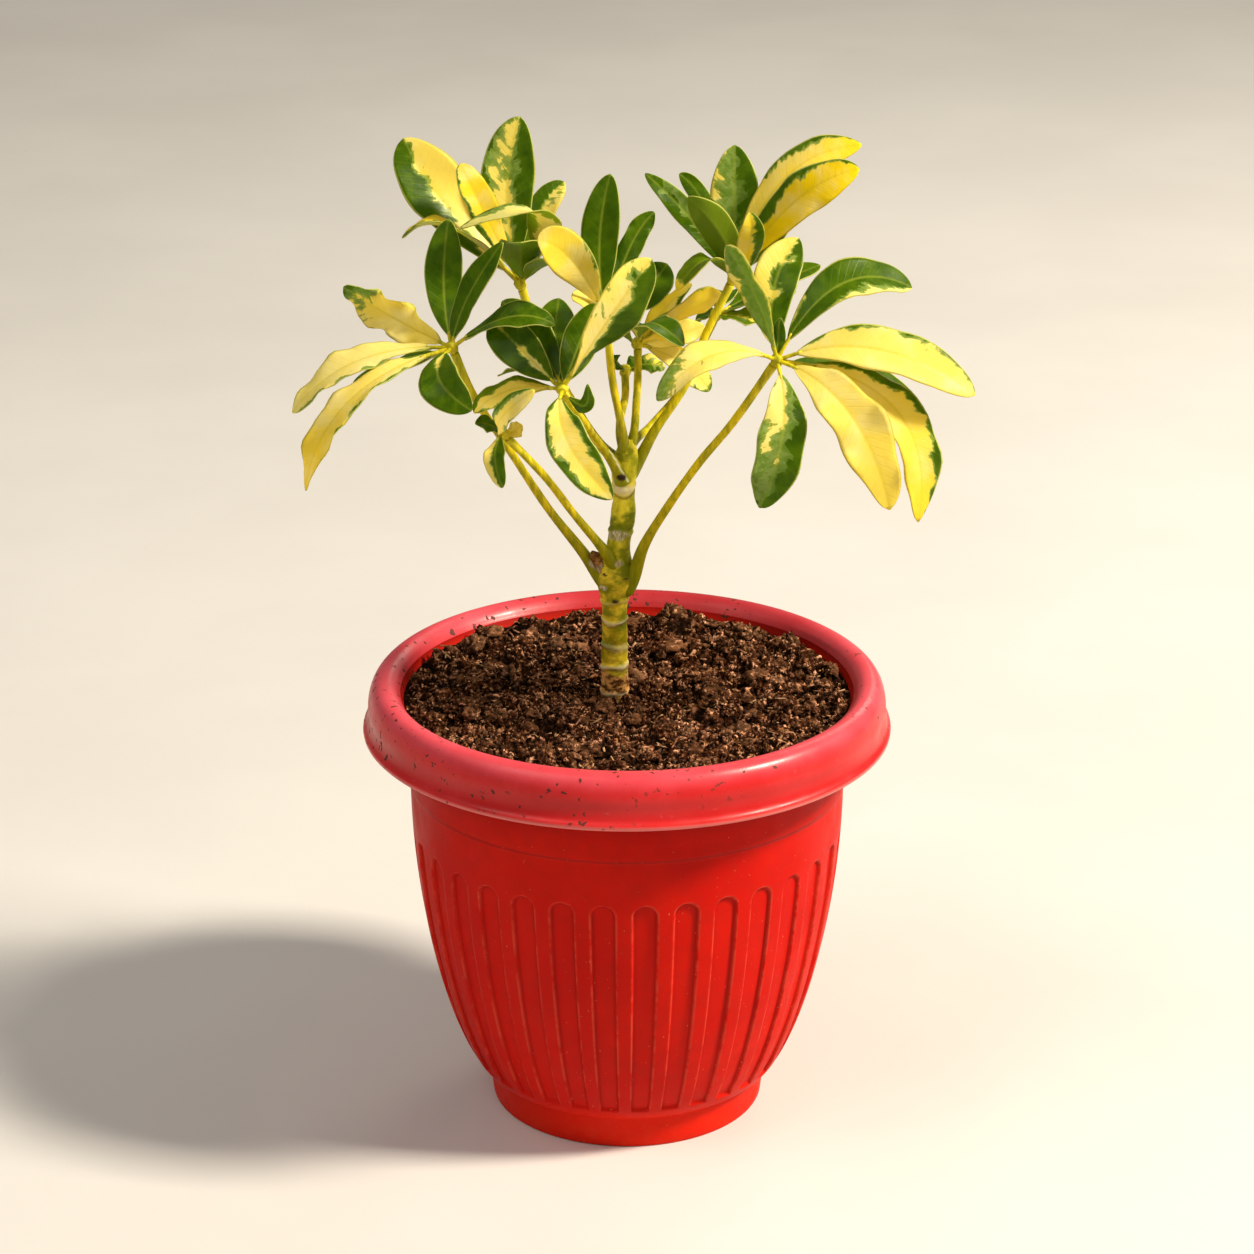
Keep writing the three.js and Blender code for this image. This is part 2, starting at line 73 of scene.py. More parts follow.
# The trunk from its buried foot up: height, the centre's x and radius.
TRUNK = [
    (205, -7, 7.9), (246, -7, 7.9), (268, -7, 7.5), (300, -7, 7), (312, -6.5, 7.6), (322, -6, 8.8),
    (330, -5.5, 7.8), (338, -5, 6.4), (347, -3.2, 6.8), (357, -1.8, 7.1), (366, -1.6, 5.9),
    (378, -2, 6.9), (388, -0.5, 7.2), (395, 0, 5.6), (400, 0.5, 3),
]
LEAF_SCARS = [251, 266, 278, 294, 305, 346, 373]
STEM_SHARE = 0.1
STEM_HALF = 1.1
BLADE_HALF_THICKNESS = 0.45
FOLD = 0.2
WAVE = 1.4
WAVES_PER_BLADE = 1.6
STALK_RADIUS = 2.2
STALK_FLARE = 7
HUB_SECTION = [(0, 2.3), (1.5, 3.2), (4.5, 3.4), (6.5, 2.2)]
HUB_CENTRE = 3


def look(a, b, c, d, tone, warm=0, under=0, ruffle=0.3, grey=0.2):
    """How a leaflet is coloured. Where a + b*t + c*(2|t|-1) + d*(2s-1) plus noise is over 0 the
    blade is green, and elsewhere pale: s runs from its base to its tip, and t across it, to the
    viewer's right or, on a blade that lies across the view, upwards. tone runs from cream to
    yellow and rises by warm towards the tip, under is added on the lower side, ruffle waves the
    edges, in millimetres, and up to grey the green is a pale one."""
    return a, b, c, d, tone, warm, under, ruffle, grey


GREEN = look(2, 0, 0, 0, 0.3)
YELLOW = look(-1.6, 0.2, 0.4, 0, 0.9, ruffle=0.4)
CREAM = look(-1.5, 0, 0.45, 0, 0.3, ruffle=0.4)

LOOKS = {
    "left": [
        GREEN, GREEN, look(1.6, 0, -0.2, 0, 0.4, under=-1.1),
        look(-1, 0.2, 0.1, 1.75, 0.45, warm=0.1, ruffle=2.6, grey=0.6),
        look(-0.95, -0.6, 0.75, 0.3, 0, warm=0.1, ruffle=1.3, grey=0.9), GREEN,
        look(-0.9, 0.45, 0.6, -0.7, 0.1, warm=0.8, ruffle=1.3, grey=0.3),
        look(1.2, 0, 0.8, 0.9, 0.3),
    ],
    "front": [
        look(0.95, 0, 1, 0.1, 0.5), GREEN, GREEN, GREEN,
        look(0.3, 1, 0.55, 0.2, 0.35, ruffle=0.4, grey=0.3),
        look(-0.1, 0.5, 0.8, 0.2, 0.5, under=-1.2, ruffle=0.5),
        look(-0.3, 0.15, 1.25, 0.1, 0.25, warm=0.3, ruffle=0.9, grey=0.3), GREEN, GREEN,
    ],
    "upper_left": [
        look(-0.1, -1.5, 0.1, 0.3, 0.3, warm=0.2, ruffle=0.4, grey=0.3),
        look(-0.85, -1, 0.5, -0.4, 0.9, ruffle=0.8),
        look(0.5, 0.65, 0.6, -0.1, 0.25, warm=0.1, grey=0.4), look(0.3, -0.9, 0.4, 0, 0.3),
        look(0.5, 0.9, 0, 0, 0.8, under=-2),
        look(-0.6, -0.5, 0.6, 0.6, 0, under=0.8, ruffle=0.4, grey=0.8),
        look(1.2, 0, 0, 0, 0.4, grey=1.1), GREEN,
    ],
    "low_left": [
        look(-0.3, 0.5, 0.9, 0, 0.3, grey=0.6), look(0.35, 0.7, -0.3, 0.3, 0.25), CREAM,
        look(0.8, 0, 0, 0, 0.6),
    ],
    "middle": [
        GREEN, look(2, 0, 0, 0, 0.3, ruffle=1.3), look(-1.1, 0.9, 0.3, -0.3, 0.6, warm=0.2), GREEN,
        GREEN, look(-1.1, 0.3, 0.3, 0, 0.5),
    ],
    "inner": [
        look(1.6, 0, -0.5, 0, 0.5, under=-1.2, grey=0.9), YELLOW, look(-0.6, 0.9, 0, 0, 0.85),
        look(-1.2, 0.5, 0.5, 0.3, 0.8), CREAM, look(-1, 0, 0.2, 1.2, 0.3), GREEN, GREEN,
    ],
    "young": [
        look(1, 0, 0, 0, 0.6), GREEN, look(0.2, 0, 0, 0, 0.8),
    ],
    "upper_right": [
        look(1, -0.4, 0, 0, 0.4, grey=0.85), GREEN, GREEN, look(0.8, 0.9, 0, 0.1, 0.4, grey=1.05),
        look(-1, 1.1, 0.5, -0.2, 0.35, warm=0.6, ruffle=0.6),
        look(-0.9, 1.3, 0.5, -0.5, 1, ruffle=0.8), look(-0.2, 1.2, 0.2, 0, 0.85),
        look(0.35, 0, 0, 0, 0.3), look(0.9, 0, 0, -1.1, 0.8, under=-1.2),
    ],
    "right": [
        look(0.6, 0, -0.7, -0.3, 0.3, ruffle=0.4, grey=1.9),
        look(0.2, 1, -0.1, -0.3, 0.4, ruffle=0.4), look(1.1, 0.9, -0.5, -0.5, 0.3, grey=0.35),
        look(-1, 0.9, 0.5, -0.2, 0.3, warm=0.1, ruffle=0.5, grey=0.3),
        look(-0.7, 0.85, 0.6, -0.05, 0.2, warm=0.7, ruffle=1.2),
        look(-1.35, 0, 0.7, 0, 0.3, warm=0.3, ruffle=2),
        look(0.55, 0.75, 0.45, 0.75, 0.1, ruffle=1.2, grey=0.9),
        look(-0.6, 0.3, -0.1, 1.2, 0.3, under=-0.3, ruffle=0.4, grey=1.6), GREEN,
        look(0.6, 0, 0, 0, 0.6, ruffle=0),
    ],
    "rear": [
        GREEN, look(0.4, 0, 0.5, 0, 0.8, under=-1), GREEN, GREEN, GREEN,
    ],
}
# The leaves: the stalk's radius at the trunk, its points, the hub, and a row for each leaflet with
# its tip and the middle of its midrib, both from the hub, the way its upper side faces, its width
# and, where it twists, the way its upper side faces at the tip.
LEAVES = {
    "left": (6, [
        (-5, 0, 308), (-14, 1, 317), (-25, -1, 334), (-44, -7, 362), (-66, -13, 400),
        (-84, -18, 431),
    ], (-94, -20, 456), [
        ((-3, 25, 68), (-6, 20, 32), (0, -1, 0.3), 21),
        ((27, 4, 61), (7, 6, 28), (-0.5, -0.8, 0.3), 15),
        ((55, -18, 21), (30, -14, 24), (0.1, -0.4, 0.9), 20),
        ((-61, 25, 30), (-31, 15, 14), (-0.2, -0.9, 0.4), 22, (0.3, -0.6, -0.5)),
        ((-88, -10, -31), (-51, -8, -2), (-0.1, -0.4, 0.9), 21),
        ((-58, 32, -28), (-30, 22, -15), (-0.2, -0.2, 1), 22),
        ((-80, -35, -67), (-55, -28, -18), (-0.5, -0.5, 0.7), 22, (-0.8, -0.5, 0.1)),
        ((11, -46, -18), (-7, -34, -3), (-0.3, -0.9, 0.4), 24),
    ]),
    "front": (6.4, [
        (-1, -2, 374), (-7, -8, 388), (-16, -17, 404), (-24, -32, 421), (-32, -45, 437),
    ], (-34, -50, 443), [
        ((-39, 28, 33), (-23, 10, 21), (-0.3, -0.9, 0.4), 24),
        ((-34, 40, 39), (-15, 22, 23), (0, -1, 0.3), 22),
        ((-3, 46, 39), (-5, 26, 18), (0, -1, 0.3), 24),
        ((17, 23, 43), (7, 13, 20), (0.1, -1, 0.3), 20),
        ((47, 2, 74), (22, -6, 40), (1.1, -0.4, -0.4), 30, (0.1, -1, 0.2)),
        ((-48, -5, -10), (-28, 4, 0), (0, -0.2, 1), 18, (-0.3, -0.4, 0.6)),
        ((26, -48, -44), (2, -42, -12), (0, -0.9, 0.4), 23),
        ((-36, 20, 3), (-18, 10, 9), (0, 0, 1), 11),
        ((13, -11, 8), (11, -8, -5), (-0.3, -0.9, 0.2), 8),
    ]),
    "upper_left": (5, [
        (-2, 2, 384), (-8, 8, 387), (-15, 14, 392), (-25, 22, 405), (-37, 28, 425), (-50, 30, 451),
    ], (-58, 30, 477), [
        ((-65, 15, 82), (-40, 8, 44), (0.9, -0.5, 0.6), 36, (0, -1, 0.3)),
        ((-33, -6, 73), (-21, -4, 46), (0.4, -0.8, 0.3), 18),
        ((-1, 20, 93), (-8, 12, 50), (0, -0.9, 0.4), 30),
        ((23, 42, 50), (8, 26, 32), (-0.3, -0.8, 0.4), 18),
        ((-65, -16, 34), (-38, -10, 38), (0, 0.12, 1), 22),
        ((-33, -34, 44), (10, -22, 48), (0.1, 0.05, 1), 25),
        ((0, -36, 37), (0, -14, 24), (0, 0.75, 0.65), 25),
        ((36, -31, 10), (16, -18, 20), (0.2, 0.05, 1), 26),
    ]),
    "low_left": (5.6, [
        (-5, -2, 322), (-11, -9, 335), (-17, -14, 345), (-29, -24, 364), (-45, -32, 389),
    ], (-65, -40, 414), [
        ((16, -40, 40), (-2, -30, 21), (-0.4, -0.8, 0.4), 14),
        ((-2, -28, -19), (-6, -20, -3), (-0.3, -0.9, 0.3), 12),
        ((8, -2, 8), (4, 0, 4), (0, -0.8, 0.5), 9),
        ((-17, -6, 10), (-9, -3, 8), (0, -0.6, 0.8), 10),
    ]),
    "middle": (3.6, [
        (-1, 0, 389), (-2, -6, 404), (-4, -8, 415), (-8, -9, 437),
    ], (-11, -10, 470), [
        ((2, 16, 79), (-4, 12, 40), (0, -1, 0.3), 21),
        ((26, 26, 55), (12, 18, 36), (0.2, -0.8, 0.5), 13),
        ((-37, -24, 53), (-19, -18, 41), (-0.2, -0.85, 0.5), 24),
        ((33, 36, 23), (20, 22, 11), (0, -0.9, 0.4), 22),
        ((-1, 52, -3), (-1, 27, 5), (0, -0.3, 1), 22),
        ((-18, -12, 16), (-10, -5, 13), (-0.3, -0.7, 0.6), 14),
    ]),
    "inner": (3.4, [
        (1, -1, 393), (4, 3, 404), (5, 10, 415), (6, 19, 430),
    ], (6, 25, 444), [
        ((25, -39, 14), (7, -26, 23), (0, -0.2, 1), 21),
        ((26, -11, 2), (13, -9, 9), (0.2, 0.3, 0.9), 13),
        ((30, 17, 33), (12, 9, 17), (0, -0.4, 0.9), 12),
        ((47, 9, 28), (30, 7, 22), (-0.1, 0.8, 0.5), 17),
        ((37, 9, 11), (19, 5, 6), (0, -0.8, 0.6), 15),
        ((40, 11, -28), (25, 9, -11), (0.2, -0.8, 0.6), 17),
        ((-21, -19, 22), (-12, -10, 14), (-0.2, -0.2, 1), 14),
        ((7, 57, -6), (4, 30, 4), (0, 0, 1), 20),
    ]),
    "young": (2.6, [
        (-2, 2, 391), (-4, 12, 397), (-4, 21, 403), (-1, 37, 413),
    ], (-1, 45, 422), [
        ((-7, -7, 14), (-4, -4, 8), (0, -0.5, 0.8), 9),
        ((8, 11, 8), (5, 6, 5), (0, -0.5, 0.8), 10), ((22, 3, 3), (12, 3, 6), (0, -0.5, 0.8), 12),
    ]),
    "upper_right": (5.6, [
        (-1, 0, 376), (7, 5, 387), (15, 9, 401), (33, 14, 428), (43, 17, 454),
    ], (57, 20, 483), [
        ((-47, 6, 61), (-20, -2, 35), (-0.3, -0.6, 0.7), 13),
        ((-24, -24, 56), (-5, -18, 31), (-0.3, 0.8, 0.5), 19),
        ((-28, 32, 54), (-13, 22, 37), (0, -0.9, 0.4), 11),
        ((2, 18, 74), (2, 10, 37), (0, -1, 0.3), 27),
        ((71, 6, 77), (28, 2, 58), (-0.4, -0.8, 0.4), 21),
        ((68, -26, 72), (33, -22, 52), (-0.3, -0.9, 0.3), 24),
        ((9, -34, 50), (9, -26, 28), (0.2, -0.9, 0.4), 15),
        ((31, -10, 41), (20, -8, 27), (0, -0.9, 0.4), 12),
        ((-30, -28, 5), (-13, -18, 19), (-0.3, -0.2, 0.9), 18),
    ]),
    "right": (6.2, [
        (-4, 0, 306), (3, -3, 319), (9.5, -10.5, 341), (23, -20, 368), (40, -30, 397),
        (57, -37, 421),
    ], (79, -45, 457), [
        ((-26, 15, 62), (-9, 1, 36), (-0.9, -0.4, 0.3), 22),
        ((14, 37, 60), (0, 19, 35), (-0.2, -0.9, 0.3), 25),
        ((75, 27, 35), (35, 11, 41), (-0.3, -0.6, 0.7), 26),
        ((108, -7, -15), (54, -7, 11), (0.1, -0.7, 0.7), 28),
        ((79, -13, -85), (65, -9, -22), (0.5, -0.6, 0.6), 28, (0.6, -0.8, 0.1)),
        ((61, -47, -66), (39, -35, -15), (-0.1, -0.8, 0.6), 29),
        ((-8, -35, -69), (4, -35, -27), (0, -0.9, 0.4), 26),
        ((-63, -35, -9), (-32, -21, 12), (-0.1, -0.4, 0.9), 23),
        ((81, 35, -33), (42, 21, -13), (0.2, -0.6, 0.8), 25),
        ((3, 1, 26), (2, 1, 12), (0, -1, 0.3), 8),
    ]),
    "rear": (2.8, [
        (1, 2, 392), (5, 14, 395), (13, 28, 398), (33, 44, 418), (42, 56, 436),
    ], (49, 62, 450), [
        ((61, 30, 23), (32, 18, 14), (-0.2, -0.4, 0.9), 18),
        ((24, -8, 1), (12, -4, 3), (0, -0.2, 1), 16),
        ((-10, 14, -8), (-5, 9, -1), (0, -0.4, 0.9), 14),
        ((46, -2, 17), (25, -2, 12), (0, 0, 1), 16), ((11, 46, -1), (6, 24, 8), (0, 0.3, 1), 20),
    ]),
}

# ---- mesh helpers
def add_object(name, data):
    made = bpy.data.objects.new(name, data)
    bpy.context.scene.collection.objects.link(made)
    return made


class Mesh:
    """Collects points in millimetres, faces, and named numbers or vectors for each point."""

    def __init__(self):
        self.points, self.faces, self.slots, self.fields, self.count = [], [], [], {}, 0

    def add(self, points, faces, slot=0, **fields):
        n = len(points)
        self.points.append(np.asarray(points, float))
        self.faces.extend([tuple(int(i) + self.count for i in f) for f in faces])
        self.slots.extend(np.broadcast_to(slot, len(faces)).tolist())
        for name, value in fields.items():
            value = np.asarray(value, float)
            value = np.broadcast_to(value, (n,)) if value.ndim == 0 else value
            self.fields.setdefault(name, []).append((self.count, value))
        self.count += n
        return self

    def build(self, name, materials):
        mesh = bpy.data.meshes.new(name)
        mesh.from_pydata((np.concatenate(self.points) * MM).tolist(), [], self.faces)
        for field, parts in self.fields.items():
            data = np.zeros((self.count,) + parts[0][1].shape[1:])
            for first, values in parts:
                data[first:first + len(values)] = values
            kind, key = ("FLOAT_VECTOR", "vector") if data.ndim == 2 else ("FLOAT", "value")
            mesh.attributes.new(field, kind, "POINT").data.foreach_set(key, data.ravel())
        for material in materials:
            mesh.materials.append(material)
        mesh.polygons.foreach_set("material_index", self.slots)
        mesh.polygons.foreach_set("use_smooth", [True] * len(self.faces))
        mesh.update()
        return add_object(name, mesh)


def unit(v):
    return v / np.linalg.norm(v)


def smoothstep(low, high, x):
    x = np.clip((np.asarray(x, float) - low) / (high - low), 0, 1)
    return x * x * (3 - 2 * x)


def polar(radius, angle):
    return radius * cos(angle), radius * sin(angle)


def bell(x, width):
    """1 where x is 0, falling off evenly on both sides."""
    return np.exp(-((x / width) ** 2))


def lump(x, y, z, scale, seed=0.0):
    return noise.noise(Vector((x / scale + seed, y / scale - seed, z / scale)))


def grid_faces(rows, columns, wrap, flip=False, start=0):
    faces = []
    for i in range(rows - 1):
        for j in range(columns if wrap else columns - 1):
            k = (j + 1) % columns
            face = (start + i * columns + j, start + i * columns + k,
                    start + (i + 1) * columns + k, start + (i + 1) * columns + j)
            faces.append(face[::-1] if flip else face)
    return faces


def closed_tube_faces(rings, sides):
    """Faces of rings of points, closed by the two end points that follow the rings' points."""
    first, last, top = rings * sides, rings * sides + 1, (rings - 1) * sides
    faces = grid_faces(rings, sides, True)
    faces += [(first, (j + 1) % sides, j) for j in range(sides)]
    return faces + [(last, top + j, top + (j + 1) % sides) for j in range(sides)]


def closed_sheet_faces(rows, columns):
    """Faces of an upper and a lower grid of points, joined around their edge."""
    n = rows * columns
    faces = grid_faces(rows, columns, False) + grid_faces(rows, columns, False, True, n)
    for i in range(rows - 1):
        low, high = i * columns, (i + 1) * columns
        faces.append((low, high, high + n, low + n))
        low, high = low + columns - 1, high + columns - 1
        faces.append((low + n, high + n, high, low))
    last = (rows - 1) * columns
    for j in range(columns - 1):
        faces.append((last + j, last + j + 1, last + j + 1 + n, last + j + n))
        faces.append((j + n, j + 1 + n, j + 1, j))
    return faces


def tube(centres, radii, sides, shape=None):
    """A closed tube along a path. shape gives a factor on the radius from the share of the path and
    the angles. Returns points, faces and each point's share."""
    centres = np.asarray(centres, float)
    n = len(centres)
    along = np.gradient(centres, axis=0)
    along /= np.linalg.norm(along, axis=1)[:, None]
    normal = unit(np.cross(along[0], (0.31, 0.2, 0.93)))
    rings, share = [], []
    angles = np.linspace(0, TAU, sides, endpoint=False)
    for k in range(n):
        normal = unit(normal - along[k] * normal.dot(along[k]))
        other = np.cross(along[k], normal)
        ring = np.cos(angles)[:, None] * normal + np.sin(angles)[:, None] * other
        radius = radii[k] * (np.ones(sides) if shape is None else shape(k / (n - 1), angles))
        rings.append(centres[k] + ring * radius[:, None])
        share += [k / (n - 1)] * sides
    points = np.concatenate(rings + [centres[:1], centres[-1:]])
    return points, closed_tube_faces(n, sides), np.array(share + [0, 1])


def spline(points, samples):
    """Centripetal Catmull-Rom curve, sampled evenly by length."""
    p = [np.array(q, float) for q in points]
    p = [2 * p[0] - p[1]] + p + [2 * p[-1] - p[-2]]
    fine = []
    for k in range(1, len(p) - 2):
        t = [0.0]
        for a, b in ((k - 1, k), (k, k + 1), (k + 1, k + 2)):
            t.append(t[-1] + max(1e-4, np.linalg.norm(p[b] - p[a]) ** 0.5))

        def between(i, j, low, high, u):
            return (t[j] - u) / (t[j] - t[i]) * low + (u - t[i]) / (t[j] - t[i]) * high

        for u in np.linspace(t[1], t[2], 24, endpoint=False):
            a1, a2, a3 = (between(i, i + 1, p[k - 1 + i], p[k + i], u) for i in range(3))
            b1, b2 = between(0, 2, a1, a2, u), between(1, 3, a2, a3, u)
            fine.append(between(1, 2, b1, b2, u))
    fine = np.array(fine + [p[-2]])
    length = np.concatenate([[0], np.cumsum(np.linalg.norm(np.diff(fine, axis=0), axis=1))])
    at = np.linspace(0, length[-1], samples)
    return np.stack([np.interp(at, length, fine[:, c]) for c in range(3)], axis=1)


# ---- material helpers
class Nodes:
    """A material that is built node by node. Inputs are sockets or constant numbers and colours."""

    def __init__(self, name):
        self.material = bpy.data.materials.new(name)
        self.material.use_nodes = True
        self.tree = self.material.node_tree
        self.tree.nodes.clear()
        self.out = self.tree.nodes.new("ShaderNodeOutputMaterial")
        self.place = self.tree.nodes.new("ShaderNodeTexCoord").outputs["Object"]
        self.colour = None

    def node(self, kind, *inputs, **settings):
        made = self.tree.nodes.new("ShaderNode" + kind)
        for key, value in settings.items():
            setattr(made, key, value)
        for socket, value in inputs:
            self.put(made.inputs[socket], value)
        return made

    def put(self, socket, value):
        if isinstance(value, bpy.types.NodeSocket):
            self.tree.links.new(value, socket)
        elif value is not None:
            socket.default_value = value

    def field(self, name, kind="Fac"):
        return self.node("Attribute", attribute_name=name).outputs[kind]

    def noise(self, vector, scale, detail=3, rough=0.55, distortion=0.0):
        return self.node("TexNoise", ("Vector", vector), ("Scale", scale), ("Detail", detail),
                         ("Roughness", rough), ("Distortion", distortion)).outputs[0]

    def cloud(self, scale, detail=3, rough=0.55):
        """Noise over the piece. scale is one number, or three for streaks along an axis."""
        if not isinstance(scale, tuple):
            return self.noise(self.place, scale, detail, rough)
        stretched = self.node("Mapping", ("Vector", self.place), ("Scale", scale)).outputs[0]
        return self.noise(stretched, 1.0, detail, rough)

    def math(self, operation, a, b=0.0):
        return self.node("Math", (0, a), (1, b), operation=operation).outputs[0]

    def times(self, a, b):
        return self.math("MULTIPLY", a, b)

    def plus(self, a, b):
        return self.math("ADD", a, b)

    def minus(self, a, b):
        return self.math("SUBTRACT", a, b)

    def ramp(self, value, low, high, to_low=0.0, to_high=1.0):
        return self.node("MapRange", (0, value), (1, low), (2, high), (3, to_low), (4, to_high),
                         interpolation_type="SMOOTHSTEP").outputs[0]

    def mix(self, factor, a, b):
        made = self.node("Mix", data_type="RGBA")
        for socket, value in ((0, factor), (6, a), (7, b)):
            self.put(made.inputs[socket], (*value, 1) if isinstance(value, tuple) else value)
        return made.outputs[2]

    def paint(self, mask, paint):
        """Puts a paint over the colour where the mask says."""
        self.colour = self.mix(mask, self.colour, paint)

    def coat(self, mask, strength, paint):
        self.paint(self.times(mask, strength), paint)

    def bump(self, height, distance, strength=1.0, normal=None):
        return self.node("Bump", ("Height", height), ("Distance", distance), ("Strength", strength),
                         ("Normal", normal)).outputs[0]

    def principled(self, roughness, normal=None, **extra):
        inputs = [("Base Color", self.colour), ("Roughness", roughness), ("Normal", normal)]
        inputs += [(key.replace("_", " "), value) for key, value in extra.items()]
        return self.node("BsdfPrincipled", *inputs).outputs[0]

    def done(self, shader):
        self.tree.links.new(shader, self.out.inputs["Surface"])
        return self.material


# ---- materials
# How far apart a blade's side veins are along its midrib, in millimetres.
VEIN_PITCH = 5.2
CRUMB_BROWN = (0.05, 0.018, 0.01)


def leaf_material():
    """Green and pale patches where the fields say, with side veins, midrib and pale margin."""
    n = Nodes("leaf_variegated")
    place = n.field("leafpos", "Vector")
    across, under, tone = n.field("across"), n.field("under"), n.field("tone")
    past_grey = n.minus(n.field("bias"), n.field("grey"))
    broad = n.noise(place, 0.075)
    sector = n.noise(n.field("veinpos", "Vector"), 1.0, 3, 0.6, 0.4)
    fine = n.noise(place, 0.8, 3, 0.6)
    scatter = n.times(n.minus(broad, 0.5), 2.2)
    scatter = n.plus(scatter, n.times(n.minus(sector, 0.5), 1.7))
    scatter = n.plus(scatter, n.times(n.minus(fine, 0.5), 0.25))
    green_at = n.plus(n.field("bias"), scatter)
    dark_at = n.plus(past_grey, scatter)
    pale = n.mix(tone, (0.92, 0.81, 0.26), (0.92, 0.72, 0.006))
    milky = n.ramp(n.noise(place, 0.05, 2), 0.42, 0.72, 0.0, 0.6)
    pale = n.mix(milky, pale, (0.93, 0.87, 0.43))
    dark = n.ramp(n.noise(place, 0.12), 0.35, 0.68)
    dark = n.mix(dark, (0.037, 0.085, 0.0006), (0.087, 0.153, 0.001))
    grey = n.ramp(n.noise(place, 0.3, 2), 0.4, 0.6)
    grey = n.mix(grey, (0.17, 0.27, 0.035), (0.29, 0.38, 0.085))
    n.colour = n.mix(n.ramp(green_at, -0.02, 0.02), pale, grey)
    n.paint(n.ramp(dark_at, -0.02, 0.02), dark)
    vein = n.ramp(n.math("SINE", n.times(n.field("vein"), TAU / VEIN_PITCH)), 0.8, 1.0)
    n.coat(vein, 0.07, (0.4, 0.46, 0.03))
    rib = n.mix(n.ramp(green_at, -0.05, 0.25), (0.62, 0.54, 0.03), (0.4, 0.46, 0.05))
    n.coat(n.field("rib"), 0.8, rib)
    lower = n.mix(n.ramp(green_at, -0.05, 0.1), pale, (0.24, 0.34, 0.012))
    n.coat(under, 0.7, lower)
    edge = n.ramp(n.math("ABSOLUTE", across), 0.935, 0.965)
    margin = n.mix(n.ramp(green_at, -0.1, 0.2), (0.26, 0.3, 0.02), (0.74, 0.7, 0.16))
    edge = n.times(edge, n.ramp(green_at, -0.1, 0.2, 0.6, 0.85))
    n.paint(edge, margin)
    spot = n.ramp(n.noise(place, 0.33, 2, 0.5), 0.775, 0.8)
    n.coat(spot, 0.75, (0.13, 0.06, 0.01))
    height = n.minus(n.times(n.noise(place, 0.35), 0.9), n.times(vein, 0.35))
    normal = n.bump(height, 0.0004, 0.45)
    rough = n.plus(n.ramp(n.noise(place, 0.2, 2), 0.3, 0.7, 0.3, 0.42), n.times(under, 0.2))
    face = n.principled(rough, normal, Specular_IOR_Level=0.16)
    glow = n.mix(tone, (0.98, 0.89, 0.31), (0.98, 0.81, 0.006))
    glow = n.mix(n.ramp(green_at, -0.02, 0.24), glow, (0.35, 0.54, 0.006))
    through = n.node("BsdfTranslucent", ("Color", glow)).outputs[0]
    return n.done(n.node("MixShader", (0, 0.42), (1, face), (2, through)).outputs[0])


def stalk_material():
    """Streaked green that turns yellow upwards, with the marks of the stalks' feet."""
    n = Nodes("stalk_green")
    up = n.field("up")
    streak = n.cloud((260, 260, 60))
    n.colour = n.mix(n.ramp(up, 0.0, 0.5), (0.3, 0.31, 0.003), (0.8, 0.61, 0.006))
    n.paint(n.ramp(up, 0.75, 1.0), (0.66, 0.57, 0.02))
    n.paint(n.ramp(streak, 0.35, 0.65, 0.0, 0.7), (0.22, 0.235, 0.003))
    fleck = n.ramp(n.cloud((420, 420, 150), 2), 0.66, 0.74)
    n.coat(fleck, 0.5, (0.2, 0.12, 0.03))
    n.coat(n.field("fibre"), n.ramp(streak, 0.3, 0.6), (0.62, 0.52, 0.34))
    n.coat(n.field("sheath"), 0.85, (0.92, 0.88, 0.5))
    n.paint(n.field("spot"), (0.035, 0.018, 0.006))
    normal = n.bump(streak, 0.0003, 0.6)
    rough = n.ramp(streak, 0.3, 0.7, 0.38, 0.55)
    return n.done(n.principled(
        rough, normal, Specular_IOR_Level=0.14, Subsurface_Weight=0.12,
        Subsurface_Radius=(0.002, 0.0025, 0.0008),
    ))


def bark_material():
    """Dry brown bark at the foot, then olive, then fresh green, with leaf scars."""
    n = Nodes("bark_young")
    height, scar, spot, fibre = (n.field(name) for name in ("height", "scar", "spot", "fibre"))
    grain = n.cloud((180, 180, 420), 5, 0.62)
    patch = n.cloud((75, 75, 60), 4, 0.6)
    dry = n.ramp(n.cloud((130, 130, 230), 5, 0.7), 0.44, 0.6)
    dry = n.mix(dry, (0.09, 0.03, 0.006), (0.8, 0.4, 0.11))
    olive = n.mix(n.ramp(patch, 0.38, 0.62), (0.34, 0.27, 0.002), (0.95, 0.71, 0.035))
    fresh = n.mix(n.ramp(patch, 0.38, 0.62), (0.36, 0.37, 0.002), (0.96, 0.8, 0.045))
    moss = n.ramp(n.cloud((60, 60, 90), 4, 0.65), 0.44, 0.62, 0.0, 0.8)
    rise = n.plus(height, n.times(n.minus(patch, 0.5), 26))
    n.colour = n.mix(n.ramp(rise, 300, 350), olive, fresh)
    n.paint(moss, (0.12, 0.17, 0.001))
    n.colour = n.mix(n.ramp(rise, 263, 269), dry, n.colour)
    lenticel = n.ramp(n.cloud((330, 330, 600), 2), 0.66, 0.72)
    n.coat(lenticel, 0.6, (0.46, 0.34, 0.12))
    worn = n.times(scar, n.ramp(grain, 0.3, 0.55, 0.55, 1.0))
    n.paint(worn, (0.9, 0.78, 0.44))
    n.coat(n.field("under_scar"), 0.75, (0.15, 0.06, 0.01))
    strand = n.ramp(n.cloud((900, 900, 160)), 0.4, 0.62)
    fibre = n.times(fibre, 0.9)
    n.paint(fibre, n.mix(strand, (0.36, 0.3, 0.12), (0.86, 0.8, 0.56)))
    n.paint(spot, (0.045, 0.025, 0.012))
    normal = n.bump(grain, 0.0006, 0.8)
    rough = n.ramp(grain, 0.3, 0.7, 0.5, 0.75)
    return n.done(n.principled(rough, normal, Specular_IOR_Level=0.1))


